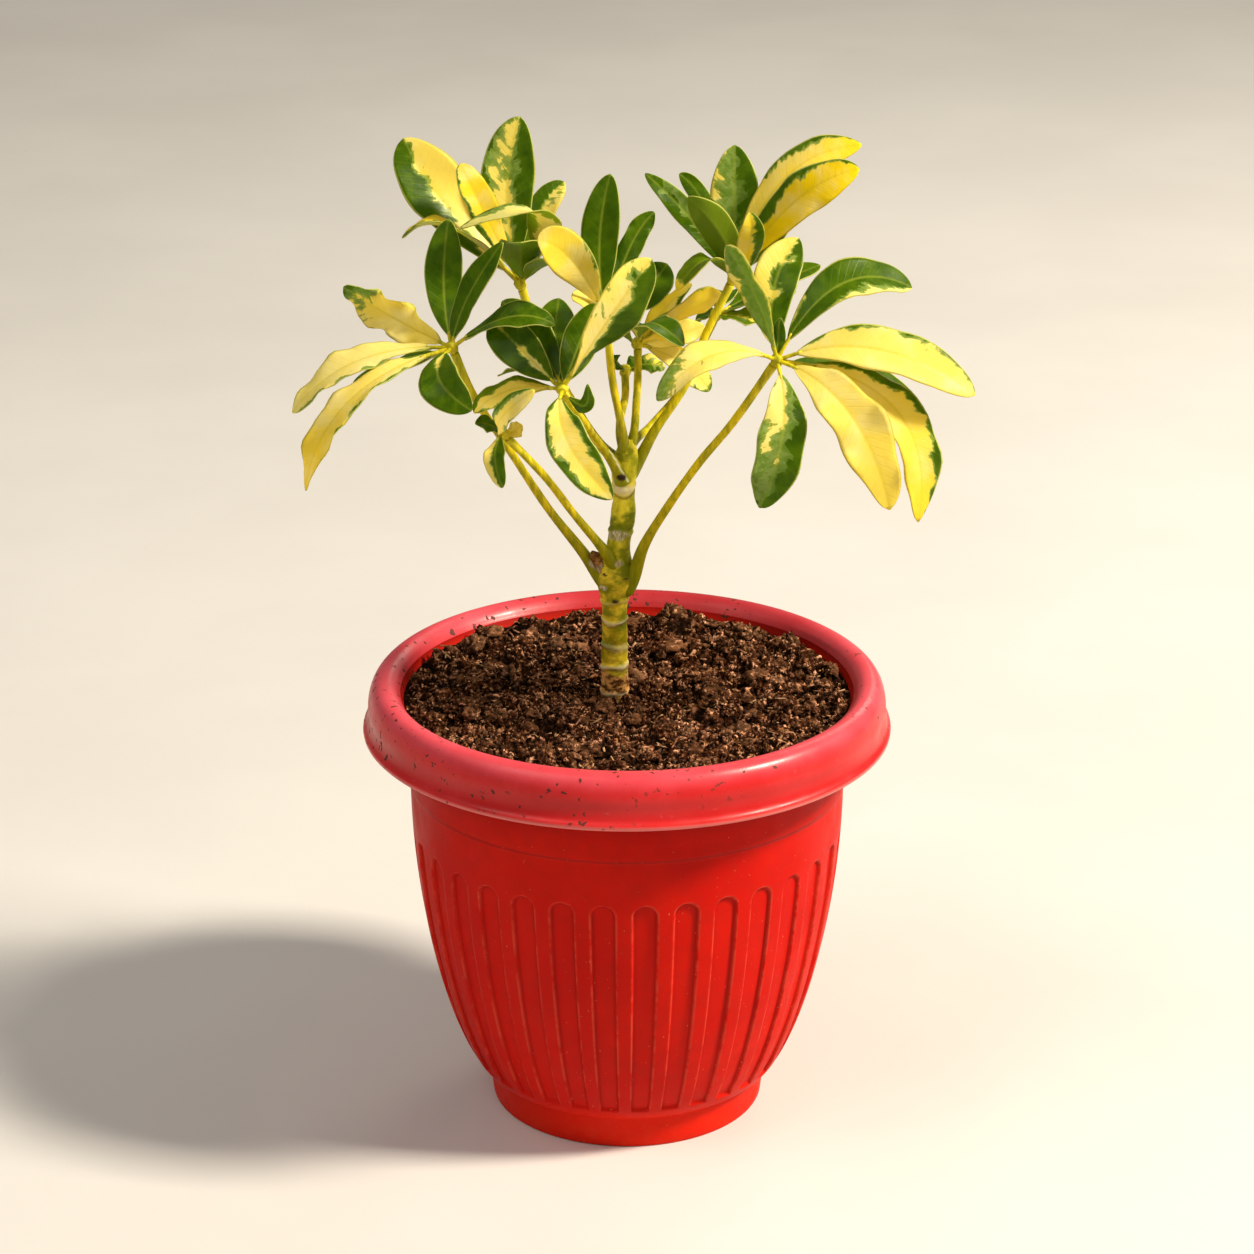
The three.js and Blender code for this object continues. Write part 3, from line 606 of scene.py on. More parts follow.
def soil_material():
    """Dark crumbs with paler clumps, chips of their own colour, and painted shade, near black, in
    the cracks.
    """
    n = Nodes("soil_crumbs")
    grain = n.cloud(350, 5, 0.68)
    patch = n.cloud(60, 4, 0.6)
    n.colour = n.mix(n.ramp(grain, 0.39, 0.55), (0.005, 0.0013, 0.0002), (0.064, 0.018, 0.0055))
    clump = n.ramp(n.cloud(115), 0.42, 0.6, 0.15, 1.0)
    n.coat(n.ramp(grain, 0.515, 0.65), clump, (1.0, 0.5, 0.28))
    n.paint(n.ramp(patch, 0.52, 0.74, 0.0, 0.26), (0.52, 0.22, 0.1))
    speck = n.ramp(n.cloud(330, 2), 0.65, 0.69)
    n.coat(speck, 0.7, (0.5, 0.22, 0.07))
    n.paint(n.field("chip"), n.mix(n.field("hue"), (0.34, 0.14, 0.06), (0.62, 0.38, 0.2)))
    # Painted shade: near black in the cracks between crumbs and in the lumps' hollows.
    n.coat(n.field("crack"), 0.95, (0.004, 0.0014, 0.0005))
    normal = n.bump(grain, 0.0016, 1.0)
    rough = n.ramp(grain, 0.3, 0.7, 0.85, 1.0)
    return n.done(n.principled(rough, normal, Specular_IOR_Level=0.03))


def crumb_specks(n, height, rows):
    """Soil crumbs stuck to the plastic, thinner down the wall."""
    crumb = n.ramp(n.cloud(230, 2, 0.5), 0.655, 0.675)
    crumb = n.times(crumb, n.ramp(height, *rows))
    side = n.node("SeparateXYZ", ("Vector", n.place))
    spill = n.minus(n.times(side.outputs[1], 0.7), side.outputs[0])
    patch = n.plus(n.cloud(16, 2), n.ramp(spill, -0.05, 0.14, -0.05, 0.12))
    return n.times(crumb, n.ramp(patch, 0.42, 0.55))


def body_material():
    """Satin red plastic: painted light on the foot, a collar darkened by painted shade under the
    rim, pale flute ridges, painted shade lines in the flutes and under the collar's step, specks
    and crumbs.
    """
    n = Nodes("pot_red_plastic")
    height = n.field("height")
    cloud = n.cloud(9, 4, 0.6)
    n.colour = n.mix(n.ramp(cloud, 0.3, 0.7), (0.49, 0.0033, 0.0004), (0.6, 0.0082, 0.0011))
    mottle = n.ramp(n.cloud(110, 5, 0.7), 0.4, 0.66, 0.0, 0.32)
    n.paint(mottle, (0.4, 0.01, 0.004))
    # Painted light: the foot is made a lighter red to lift the shade it lies in below the bowl.
    n.paint(n.ramp(height, 30, 21, 0.0, 0.7), (0.74, 0.016, 0.003))
    # Painted shade: the collar grows darker towards the rim, where the rim's shadow falls.
    shade = n.ramp(height, 206, 229, 0.0, 0.85)
    n.paint(shade, (0.22, 0.002, 0.0004))
    n.paint(n.field("inside"), (0.46, 0.013, 0.006))
    ridge = n.times(n.field("edge"), n.ramp(n.cloud(60, 4, 0.7), 0.38, 0.6))
    n.coat(ridge, 0.34, (0.84, 0.15, 0.08))
    # Painted shade: dark lines at the foot of each flute's step and under the collar's step.
    n.coat(n.field("line"), 0.75, (0.2, 0.0016, 0.0006))
    speck = n.ramp(n.cloud(760, 1, 0.4), 0.775, 0.795)
    n.coat(speck, 0.4, (0.8, 0.34, 0.22))
    crumb = crumb_specks(n, height, (222, 229))
    n.coat(crumb, 0.9, CRUMB_BROWN)
    dust = n.times(n.ramp(height, 24, 2), n.ramp(n.cloud(140, 4, 0.6), 0.4, 0.7))
    n.coat(dust, 0.04, (0.62, 0.36, 0.18))
    rough = n.ramp(n.cloud(40, 5, 0.7), 0.35, 0.7, 0.4, 0.54)
    rough = n.plus(rough, n.times(n.math("MAXIMUM", crumb, dust), 0.4))
    normal = n.bump(n.cloud(900, 2, 0.5), 0.00012, 0.5)
    normal = n.bump(n.cloud(22, 3, 0.5), 0.0012, 0.25, normal)
    return n.done(n.principled(rough, normal, Specular_IOR_Level=0.07))


def rim_material():
    """Glossier red for the rim: a pink crest that is partly faded plastic and partly a painted
    highlight, painted shade in the valley, a worn lip and painted shade on the rear.
    """
    n = Nodes("pot_red_rim")
    height = n.field("height")
    cloud = n.cloud(14, 5, 0.65)
    n.colour = n.mix(n.ramp(cloud, 0.32, 0.7), (0.52, 0.006, 0.006), (0.63, 0.023, 0.025))
    # Pink on the crest: partly faded plastic, partly a painted highlight where the top of the roll
    # catches light.
    crest_fade_and_highlight = n.times(n.ramp(height, 247, 257), n.ramp(cloud, 0.25, 0.7, 0.5, 1.0))
    n.coat(crest_fade_and_highlight, 0.75, (0.7, 0.09, 0.125))
    # Painted shade on the rim's outer wall, below the crest.
    valley_shade = n.times(n.ramp(height, 248, 240), n.ramp(height, 231, 235))
    n.coat(valley_shade, 0.45, (0.4, 0.006, 0.006))
    n.coat(n.field("lip"), 0.5, (0.85, 0.4, 0.36))
    rub = n.ramp(n.cloud(75, 5, 0.75), 0.62, 0.74)
    n.coat(rub, 0.14, (0.78, 0.42, 0.38))
    # Painted shade: the rim darkens towards the rear, where the plant's shadow falls.
    side = n.node("SeparateXYZ", ("Vector", n.place))
    rear = n.plus(side.outputs[1], n.times(side.outputs[0], 0.25))
    n.paint(n.ramp(rear, 0.07, 0.17, 0.0, 0.92), (0.27, 0.004, 0.004))
    crumb = crumb_specks(n, height, (227, 232))
    n.coat(crumb, 0.9, CRUMB_BROWN)
    rough = n.ramp(n.cloud(40, 5, 0.7), 0.35, 0.7, 0.28, 0.44)
    rough = n.plus(rough, n.times(crumb, 0.4))
    normal = n.bump(n.cloud(900, 2, 0.5), 0.0001, 0.4)
    normal = n.bump(n.cloud(26, 3, 0.5), 0.0008, 0.25, normal)
    return n.done(n.principled(rough, normal, Specular_IOR_Level=0.3))


def floor_material():
    n = Nodes("floor_pale")
    cloud = n.cloud(3, 4)
    n.colour = n.mix(n.ramp(cloud, 0.3, 0.7), (0.6, 0.585, 0.56), (0.64, 0.625, 0.6))
    return n.done(n.principled(0.75, n.bump(n.cloud(160), 0.0006, 0.2)))


LEAF, STALK, BARK, SOIL = leaf_material(), stalk_material(), bark_material(), soil_material()
BODY, RIM = body_material(), rim_material()

# ---- leaves
# The viewer's right and upwards, which say which edge of a blade is its right one.
RIGHT, UPWARD = np.array((1, 0, 0)), np.array((0, 0.36, 0.93))
BLADE_STATIONS, BLADE_COLUMNS = 30, 15
BLADE_TIP_HALF = 0.5
BLADE_PEAK = 0.379
# A blade's edge: waves along it, how the phase shifts them and how they lean across.
CRIMPS = [(1, 3.3, 2.3, 1.7), (0.5, 6.1, 4.1, -2.9)]
FRET, FRET_WAVES, FRET_SHIFT, FRET_LEAN = 0.045, 2.7, 1.9, 2.2
GROOVE = {"half": 0.8, "top": 0.25, "bottom": 0.55}
RIB_HALF = 0.5
VEIN_SLANT = 0.85
SECTOR_WIDTH, SECTOR_LENGTH = 15, 6.5
STEM_RADII, STEM_SIDES = (1.25, 1.0), 10
HUB_SIDES, HUB_RINGS = 24, 12
STALK_SIDES, STALK_RINGS = 28, 120
# Marks on the bark and the stalks' feet: the middle and the radius.
SPOTS = [
    ((-3, -10, 380.3), 3.2), ((2.2, -6, 348.5), 1.3), ((-6.7, -7.5, 306.2), 1.9),
    ((-1, -7, 320), 1.2), ((-10, -5, 296), 1.0), ((-3, -8, 283), 1.0), ((-12, -6, 322), 1.4),
]
FIBRES = [
    ((-5, -6.5, 345.3), 4.6), ((-11, -4, 344), 3), ((-17.4, -2, 327.5), 4),
    ((-4.5, -8.5, 329.3), 2.6), ((-12, -5, 314), 2),
]
# The pale edge of the sheath at the foot of the front stalk.
SHEATH_EDGE = [(-9.7, -13.3, 397.7), (-7.9, -12.2, 394.5), (-5.8, -11, 390.5), (-4, -9.9, 386.3),
               (-1.9, -8.6, 382.4), (-0.5, -8, 379.7), (0.7, -7.6, 377.7)]
SHEATH = [(tuple(p), 0.75) for p in spline(SHEATH_EDGE, 40)]


def nearness(x, y, z, marks):
    """How far a place lies in the marks, from 0 outside them to 1."""
    most = 0.0
    for (mx, my, mz), size in marks:
        away = sqrt((x - mx) ** 2 + (y - my) ** 2 + (1.5 * (z - mz)) ** 2) / size
        most = max(most, float(smoothstep(1.25, 0.8, away)))
    return most


def blade_outline(share):
    return share ** 0.8 * np.maximum(1 - share, 0) ** 0.62 / BLADE_PEAK


def add_leaflet(mesh, row, shade, hub, root, phase, seed):
    """A folded and waved blade with a groove along its midrib, and its small stem."""
    tip, middle, face, width, *twist = row
    a, b, c, d, tone, warm, under, ruffle, grey = shade
    tip_face = twist[0] if twist else face
    end = hub + np.array(tip, float)
    control = 2 * (hub + np.array(middle, float)) - 0.5 * root - 0.5 * end
    curve = lambda t: (1 - t) ** 2 * root + 2 * t * (1 - t) * control + t * t * end
    steps = np.diff([curve(t) for t in np.linspace(0, 1, 20)], axis=0)
    length = np.linalg.norm(steps, axis=1).sum()
    u = np.linspace(0, 1, BLADE_STATIONS)
    shares = 0.55 * u + 0.45 * (0.5 - 0.5 * np.cos(pi * u))
    t_across = np.linspace(-1, 1, BLADE_COLUMNS)
    t_across = np.sign(t_across) * np.abs(t_across) ** 1.15
    top, bottom, place, sector, vein, bias = [], [], [], [], [], []
    sign = None
    for share in shares:
        station = STEM_SHARE + (1 - STEM_SHARE) * share
        along = unit(2 * (1 - station) * (control - root) + 2 * station * (end - control))
        facing = np.array(face) * (1 - station) + np.array(tip_face) * station
        side = unit(np.cross(along, facing))
        up = np.cross(side, along)
        if sign is None or share < 0.5:
            flat, rise = side.dot(RIGHT), side.dot(UPWARD)
            sign = copysign(1, flat if abs(flat) > abs(rise) else rise)
        outline = blade_outline(share)
        half = hypot(outline * width / 2, BLADE_TIP_HALF)
        centre = curve(station)
        blend = smoothstep(0.0, 0.12, share)
        for t in t_across:
            edge = abs(t)
            wave = WAVE * outline * sin(TAU * WAVES_PER_BLADE * share + phase + t)
            crimp = sum(size * ruffle * outline
                        * sin(TAU * waves * share + shift * phase + lean * t)
                        for size, waves, shift, lean in CRIMPS)
            lift = FOLD * half * outline * edge ** 1.25 + wave * edge ** 1.3 + crimp * edge ** 3
            groove = bell(t * half, GROOVE["half"]) * (1 - share)
            thick = BLADE_HALF_THICKNESS * (1 - 0.4 * t * t) * blend + STEM_HALF * 0.8 * (1 - blend)
            fret = sin(TAU * FRET_WAVES * share + FRET_SHIFT * phase + FRET_LEAN * t)
            base = centre + side * (t * half * (1 + FRET * ruffle * edge ** 2 * fret))
            top.append(base + up * (lift + thick - GROOVE["top"] * groove))
            bottom.append(base + up * (lift - thick - GROOVE["bottom"] * groove))
            place.append((t * half, length * station, 91.7 * seed))
            vein.append(length * station - VEIN_SLANT * abs(t * half))
            sector.append((t * half / SECTOR_WIDTH + 7.3 * seed, vein[-1] / SECTOR_LENGTH,
                           3.1 * seed))
            bias.append(a + b * t * sign + c * (2 * edge - 1) + d * (2 * share - 1))
    along_all = np.repeat(shares, BLADE_COLUMNS)
    rib = bell(np.array(place)[:, 0], RIB_HALF) * (1 - 0.5 * along_all)
    lower = np.repeat([0, 1], len(top))
    twice = lambda values: np.concatenate([values, values])
    mesh.add(
        np.array(top + bottom), closed_sheet_faces(BLADE_STATIONS, BLADE_COLUMNS), 0,
        leafpos=twice(place), across=twice(np.tile(t_across, BLADE_STATIONS)), rib=twice(rib),
        vein=twice(vein), veinpos=twice(sector), bias=twice(bias) + under * lower, grey=grey,
        tone=np.clip(tone + warm * twice(along_all), 0, 1), under=lower, up=1,
    )
    stem = np.array([curve(t) for t in np.linspace(0, STEM_SHARE + 0.03, 9)])
    points, faces, share = tube(stem, np.linspace(*STEM_RADII, 9), STEM_SIDES)
    mesh.add(points, faces, 1, up=0.8 + 0.2 * share)


def make_crown(number, name, axis, hub, rows):
    mesh = Mesh()
    for i, (row, shade) in enumerate(zip(rows, LOOKS[name])):
        add_leaflet(mesh, row, shade, hub, hub + axis * HUB_CENTRE, 2.0 * i, 10 * number + i + 1)
    knot = spline([hub + axis * distance for distance, _ in HUB_SECTION], HUB_RINGS)
    sizes = [radius for _, radius in HUB_SECTION]
    radii = np.interp(np.linspace(0, 1, HUB_RINGS), np.linspace(0, 1, len(sizes)), sizes)
    swell = lambda share, angles: (1 + 0.10 * np.sin(3 * angles + 5 * share)
                                   + 0.05 * np.sin(7 * angles))
    points, faces, share = tube(knot, radii, HUB_SIDES, swell)
    mesh.add(points, faces, 1, up=0.9 + 0.1 * share)
    piece = mesh.build("crown_" + name, [LEAF, STALK])
    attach(piece, "root")
    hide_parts("leaflets_" + name)


def make_stalk(number, name, base, stalk, end):
    path = spline(list(stalk) + [tuple(end)], STALK_RINGS)
    left = 1 - np.linspace(0, 1, STALK_RINGS)
    radii = STALK_RADIUS + (base - STALK_RADIUS) * left ** STALK_FLARE + 0.25 * bell(left, 0.06)
    radii = radii * (1 - 0.9 * bell(1 - left, 0.022))
    uneven = lambda share, angles: (1 + 0.035 * np.sin(2 * angles + number)
                                    + 0.02 * np.sin(31 * share + number))
    points, faces, share = tube(path, radii, STALK_SIDES, uneven)
    marked = {field: np.array([nearness(*p, marks) for p in points])
              for field, marks in (("spot", SPOTS), ("fibre", FIBRES), ("sheath", SHEATH))}
    piece = Mesh().add(points, faces, 0, up=share, **marked).build("petiole_" + name, [STALK])
    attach(piece, "root")
    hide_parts("stalk_" + name)


for number, (name, (base, stalk, hub, rows)) in enumerate(LEAVES.items()):
    hub = np.array(hub, float)
    axis = unit(hub - stalk[-1])
    make_crown(number, name, axis, hub, rows)
    make_stalk(number, name, base, stalk, hub - axis * GAP)

# ---- trunk
TRUNK_SIDES = 48
TRUNK_FOOT, TRUNK_HEAD = 205, 400
# How strong each leaf scar's pale ring is, and how wide, in millimetres.
SCAR_LOOKS = [
    (0.5, 0.8), (1.0, 1.1), (0.45, 1.3), (0.9, 0.8), (0.35, 0.6), (0.45, 0.9), (1.2, 2.2),
]
# Swellings where stalks leave the trunk: the way they face, the height, its spread and their size.
FORKS = [(-15, 318, 8, 3.0), (180, 315, 8, 2.6), (-125, 327, 6, 1.5)]
# The stub of a broken stalk between the two on the left.
STUB = [(-10, -1, 321), (-14, -2.5, 326), (-17.5, -3.5, 331), (-19.5, -4, 335)]
STUB_RADII = [0, 0.5, 0.85, 1], [3.5, 3.4, 2.9, 1.1]
STUB_RINGS, STUB_SIDES = 24, 20


def trunk_size(z, column, blur):
    """The centre's x (column 1) or the radius (2), evened out over a few heights."""
    heights, values = [row[0] for row in TRUNK], [row[column] for row in TRUNK]
    return np.mean([np.interp(z + shift * blur, heights, values) for shift in (-2, -1, 0, 1, 2)])


def scar_relief(z, angle):
    """A leaf scar's ridge, and how pale and how brown the bark is there."""
    ridge, pale, brown = 0.0, 0.0, 0.0
    for m, (at, (strength, wide)) in enumerate(zip(LEAF_SCARS, SCAR_LOOKS)):
        off = z - at - 0.9 * sin(angle + 2.1 * m) - 0.4 * sin(3 * angle + 1.3 * m)
        ridge += 0.62 * bell(off, 0.9) - 0.3 * bell(off - 2.2, 0.9)
        wide *= 1 + 0.35 * sin(2 * angle + 1.9 * m)
        pale = max(pale, strength * bell(off + 0.3, wide))
        brown = max(brown, strength * bell(off + 0.6 + 1.5 * wide, 0.7))
    return ridge, min(1, pale), min(1, brown)


def make_trunk():
    levels = [np.arange(TRUNK_FOOT, 240, 5), np.arange(240, 399.5, 0.9), [TRUNK_HEAD]]
    levels = np.concatenate(levels)
    points, marks = [], []
    for z in levels:
        radius, x0 = trunk_size(z, 2, 1.5), trunk_size(z, 1, 3)
        for angle in np.arange(TRUNK_SIDES) * TAU / TRUNK_SIDES:
            ridge, pale, brown = scar_relief(z, angle)
            for facing, at, spread, size in FORKS:
                turn = (angle - radians(facing) + pi) % TAU - pi
                ridge += size * exp(-((turn / 0.8) ** 2) - ((z - at) / spread) ** 2)
            x, y = x0 + radius * cos(angle), radius * sin(angle)
            ridge += 0.30 * lump(x, y, z, 7) + 0.15 * lump(x, y, z, 2.2, 3)
            dark = nearness(x, y, z, SPOTS)
            ridge -= 0.5 * dark
            points.append((x + ridge * cos(angle), y + ridge * sin(angle), z))
            marks.append((z, pale, brown, dark, nearness(x, y, z, FIBRES)))
    for z in (TRUNK_FOOT, TRUNK_HEAD):
        points.append((trunk_size(z, 1, 3), 0, z))
        marks.append((z, 0, 0, 0, 0))
    fields = dict(zip(("height", "scar", "under_scar", "spot", "fibre"), np.array(marks, float).T))
    mesh = Mesh().add(points, closed_tube_faces(len(levels), TRUNK_SIDES), 0, **fields)
    radii = np.interp(np.linspace(0, 1, STUB_RINGS), *STUB_RADII)
    torn = lambda share, angles: (1 + 0.16 * np.sin(3 * angles + 9 * share)
                                  + 0.12 * np.sin(5 * angles + 4) * share)
    points, faces, share = tube(spline(STUB, STUB_RINGS), radii, STUB_SIDES, torn)
    mesh.add(points, faces, 0, height=250, scar=0, under_scar=smoothstep(0.45, 0.9, share), spot=0,
             fibre=0.8 * smoothstep(0.65, 0.35, share))
    piece = mesh.build("trunk_ringed", [BARK])
    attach(piece, "root")
    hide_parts("trunk")


make_trunk()

# ---- pot
# Columns across one flute, in degrees from its middle, closer together at its edges.
FLUTE_COLUMNS = [-5.4, -4.6, -4.1, -3.8, -3.55, -3.3, -3.05, -2.8, -2.5, -2, -1.3, -0.7,
                 0, 0.7, 1.3, 2, 2.5, 2.8, 3.05, 3.3, 3.55, 3.8, 4.1, 4.6]
# How wide the step at a flute's edge is, and where its worn ridge and its painted shade line, in
# the recess at the step's foot, lie.
FLUTE_STEP, RIDGE_HALF, LINE_INSET = 1.1, 0.5, 1.3
# The height of the painted shade line under the collar's step.
COLLAR_LINE = 198.8
LIP_HEIGHT = 229.8
RIM_RINGS = 60
DRAIN_SIDES = 20


def bowl_radius(z):
    down = np.clip((BOWL["top"] - z) / (BOWL["top"] - BOWL["bottom"]), 0, 1)
    full = (1 - down ** BOWL["bulge"]) ** BOWL["fullness"]
    return float(BOWL["r0"] + (BOWL["r1"] - BOWL["r0"]) * full)


def wall_inside(levels):
    """The pot's inner wall, as radius and height."""
    return [(bowl_radius(z) - WALL, z) for z in levels]


def pot_profile():
    """The pot's section as radius and height: foot, bowl, collar, rim, and down the inside."""
    low, high, top = FOOT["bottom"], FOOT["top"], FOOT["height"]
    foot = [(low - 1.2, 0), (low - 0.4, 0.25), (low, 1.0), (79, 6), (80, 13), (high - 0.1, top - 1),
            (high + 0.1, top - 0.1), (high + 1.2, top + 0.5)]
    levels = np.concatenate([[21.2, 22, 23, 24], np.linspace(25, 34, 12), np.linspace(37, 162, 26),
                             np.linspace(164, 173, 19), [175, 180, 186, 191, 195, 196.6]])
    collar = [(123.7, 197.6), (124, 198.3), (124.55, 199), (124.9, 199.8), (125.05, 201),
              (125.15, 204), (125.3, 211), (125.45, 219), (125.6, 226), (125.7, 228)]
    rim = [(p[0], p[2]) for p in spline([(r, 0, z) for r, z in RIM_SECTION], RIM_RINGS)]
    inside = THROAT + [(BOWL["r1"] - WALL, BOWL["top"])] + wall_inside((150, 100, 60, 35))
    inside += [(high - WALL, top), (low - WALL, FLOOR)]
    return foot, [(bowl_radius(z), z) for z in levels], collar, rim, inside


def make_pot():
    pitch = 360 / FLUTES["count"]
    angles = np.radians([FLUTES["first"] + i * pitch + o
                         for i in range(FLUTES["count"]) for o in FLUTE_COLUMNS])
    middle = np.tile(FLUTE_COLUMNS, FLUTES["count"])
    columns = len(angles)
    stretches = pot_profile()
    rows = sum(stretches, [])
    ends = np.cumsum([len(stretch) for stretch in stretches])
    bowl_start, bowl_end, rim_start, rim_end = ends[:4]
    radius = np.array([r for r, _ in rows])[:, None] * np.ones(columns)
    edge, lip, inside, line = np.zeros((4, len(rows), columns))
    for k in range(bowl_start, bowl_end):
        z = rows[k][1]
        arc = np.abs(np.radians(middle)) * radius[k]
        half = radians(FLUTES["half"]) * radius[k]
        rise = max(0.0, z - (FLUTES["top"] - FLUTES["arch"]))
        away = np.hypot(arc / half * FLUTES["arch"], rise)
        cut = smoothstep(FLUTES["arch"], FLUTES["arch"] - FLUTE_STEP, away)
        radius[k] -= FLUTES["depth"] * cut * smoothstep(FLUTES["bottom"], FLUTES["bottom"] + 3, z)
        above = smoothstep(FLUTES["bottom"] + 1, FLUTES["bottom"] + 4, z)
        edge[k] = bell(away - FLUTES["arch"], RIDGE_HALF) * above
        line[k] = 0.65 * bell(away - FLUTES["arch"] + LINE_INSET, RIDGE_HALF) * above
    inside[rim_end:] = 1
    for k, (r, z) in enumerate(rows):
        if bowl_end <= k < rim_start:
            line[k] = bell(z - COLLAR_LINE, 0.9)
        if r > 148.6:
            lip[k] = bell(z - LIP_HEIGHT, 0.8)
        if z > 229 and r > 130:
            radius[k] -= 0.15 + 0.15 * np.sin(5 * angles + 0.06 * z) * np.cos(3 * angles + 1)
    height = np.repeat([z for _, z in rows], columns)
    x, y = (radius * np.cos(angles)).ravel(), (radius * np.sin(angles)).ravel()
    slots = np.repeat([int(rim_start <= k < rim_end - 1) for k in range(len(rows) - 1)], columns)
    mesh = Mesh().add(
        np.stack([x, y, height], axis=1), grid_faces(len(rows), columns, True), slots,
        height=height, edge=edge.ravel(), lip=lip.ravel(), inside=inside.ravel(), line=line.ravel(),
    )
    piece = mesh.build("pot_fluted", [BODY, RIM])
    close_base(piece.data, columns, len(rows))
    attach(piece, "root")
    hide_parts("pot")


def close_base(data, columns, rows):
    """Closes the pot's underside and inner floor, with the drain holes through both."""
    bm = bmesh.new()
    bm.from_mesh(data)
    bm.verts.ensure_lookup_table()
    height = bm.verts.layers.float.get("height")
    outers = [[bm.verts[first + j] for j in range(columns)] for first in (0, (rows - 1) * columns)]
    holes = []
    for z, outer in zip((0, FLOOR), outers):
        edges = [bm.edges.get((outer[j], outer[(j + 1) % columns])) for j in range(columns)]
        rings = []
        for i in range(DRAIN["count"]):
            middle = TAU * i / DRAIN["count"]
            cx, cy = polar(DRAIN["circle"], middle)
            ring = []
            for j in range(DRAIN_SIDES):
                angle = TAU * j / DRAIN_SIDES
                x, y = polar(DRAIN["radius"], angle)
                ring.append(bm.verts.new(Vector((cx + x, cy + y, z)) * MM))
                ring[-1][height] = z
            for j in range(DRAIN_SIDES):
                edges.append(bm.edges.new((ring[j], ring[(j + 1) % DRAIN_SIDES])))
            rings.append(ring)
        bmesh.ops.triangle_fill(bm, use_beauty=True, use_dissolve=False, edges=edges,
                                normal=(0, 0, -1 if z == 0 else 1))
        holes.append(rings)
    for low, high in zip(*holes):
        for j in range(DRAIN_SIDES):
            k = (j + 1) % DRAIN_SIDES
            bm.faces.new((low[j], low[k], high[k], high[j]))
    bmesh.ops.recalc_face_normals(bm, faces=bm.faces)
    bm.to_mesh(data)
    bm.free()


make_pot()

# ---- soil
SOIL_COLUMNS, SOIL_RINGS = 520, 170
SOIL_RADIUS = 126.4
WALL_GAP = 0.45
# The soil's rings close in on the trunk, whose foot stands here.
FOOT_X, FOOT_RADIUS = -7, 7.9
# The two sizes of crumbs, as the cells' width and height, and how far they lie below the surface.
CRUMBS, CRUMB_DROP = ((9.5, 4.4), (4.4, 2.3)), 4.7
# Loose lumps, of which the first are big, chips, and the gap that both leave around the trunk.
LUMP_COUNT, BIG_LUMPS, CHIP_COUNT, TRUNK_GAP = 960, 91, 1700, 9.5
# The relief of a lump: shares and scales of its noise.
LUMP_RELIEF = [(0.6, 1.2), (0.65, 2.8), (0.45, 6)]


def soil_height(x, y):
    mounds = sin(x / 9 + 1) * sin(y / 11 + 2) + 0.7 * sin((x + y) / 17)
    clods = [height * (1 - ((x - cx) ** 2 + (y - cy) ** 2) / radius ** 2)
             for cx, cy, radius, height in CLODS]
    return SOIL_TOP + 1.2 * mounds + max(0, *clods)


def crumbly(x, y):
    """Crumbs, in millimetres above the clods, and how deep in a crack the place is, from 0 to 1,
    which sets the painted shade there.
    """
    bend = 0.45 * lump(x, y, 0, 6, 5), 0.45 * lump(x, y, 9, 6, 2)
    rise = -CRUMB_DROP
    for scale, height in CRUMBS:
        at = Vector((x / scale + bend[0], y / scale + bend[1], 0.4 * scale))
        near, cells = noise.voronoi(at)
        uneven = 1 + 0.9 * noise.noise(cells[0] * 2.3)
        rise += height * min(1, 2.1 * (near[1] - near[0])) ** 0.5 * uneven
    rise += 0.9 * (1 - 3 * abs(lump(x, y, 3, 2.3, 2)))
    return rise, float(smoothstep(1.3, -1.5, rise))


def surface(x, y):
    """The soil's height, and how deep in a crack it is, which sets the painted shade there."""
    inside = float(smoothstep(126.5, 119, hypot(x, y)))
    rise, crack = crumbly(x, y)
    ground = soil_height(x, y) * inside + SOIL_EDGE * (1 - inside)
    return ground + rise * (0.45 + 0.55 * inside), crack


def soil_bed():
    """Points, faces and the painted shade of the cracks: rings up the pot's wall, then over the
    surface to the trunk.
    """
    points = []
    wall = [(FOOT["bottom"] - WALL, FLOOR + GAP), (FOOT["top"] - WALL, FOOT["height"])]
    wall += wall_inside((35, 60, 100, 150)) + [(BOWL["r1"] - WALL, BOWL["top"])] + THROAT[:0:-1]
    for r, z in wall:
        for k in range(SOIL_COLUMNS):
            points.append((*polar(r - WALL_GAP, TAU * k / SOIL_COLUMNS), z))
    crack_shades = [0.0] * len(points)
    for i in range(SOIL_RINGS):
        u = i / (SOIL_RINGS - 1)
        r, cx = SOIL_RADIUS + (FOOT_RADIUS - SOIL_RADIUS) * u, FOOT_X * u
        for k in range(SOIL_COLUMNS):
            angle = TAU * (k + 0.5 * (i % 2)) / SOIL_COLUMNS
            x, y = cx + r * cos(angle), r * sin(angle)
            z, crack = surface(x, y)
            points.append((x, y, z if i else min(z, SOIL_EDGE)))
            crack_shades.append(crack)
    points += [(0, 0, FLOOR + GAP), (FOOT_X, 0, 242)]
    faces = closed_tube_faces(len(wall) + SOIL_RINGS, SOIL_COLUMNS)
    return points, faces, np.array(crack_shades + [0, 0])


def scatter(rng, reach):
    """A random place on the soil, even by area."""
    angle, r = rng.uniform(0, TAU), reach * sqrt(rng.uniform(0.012, 1))
    return *polar(r, angle), r


def ball(cuts):
    bm = bmesh.new()
    bmesh.ops.create_icosphere(bm, subdivisions=cuts, radius=1)
    shape = np.array([v.co[:] for v in bm.verts]), [[v.index for v in f.verts] for f in bm.faces]
    bm.free()
    return shape


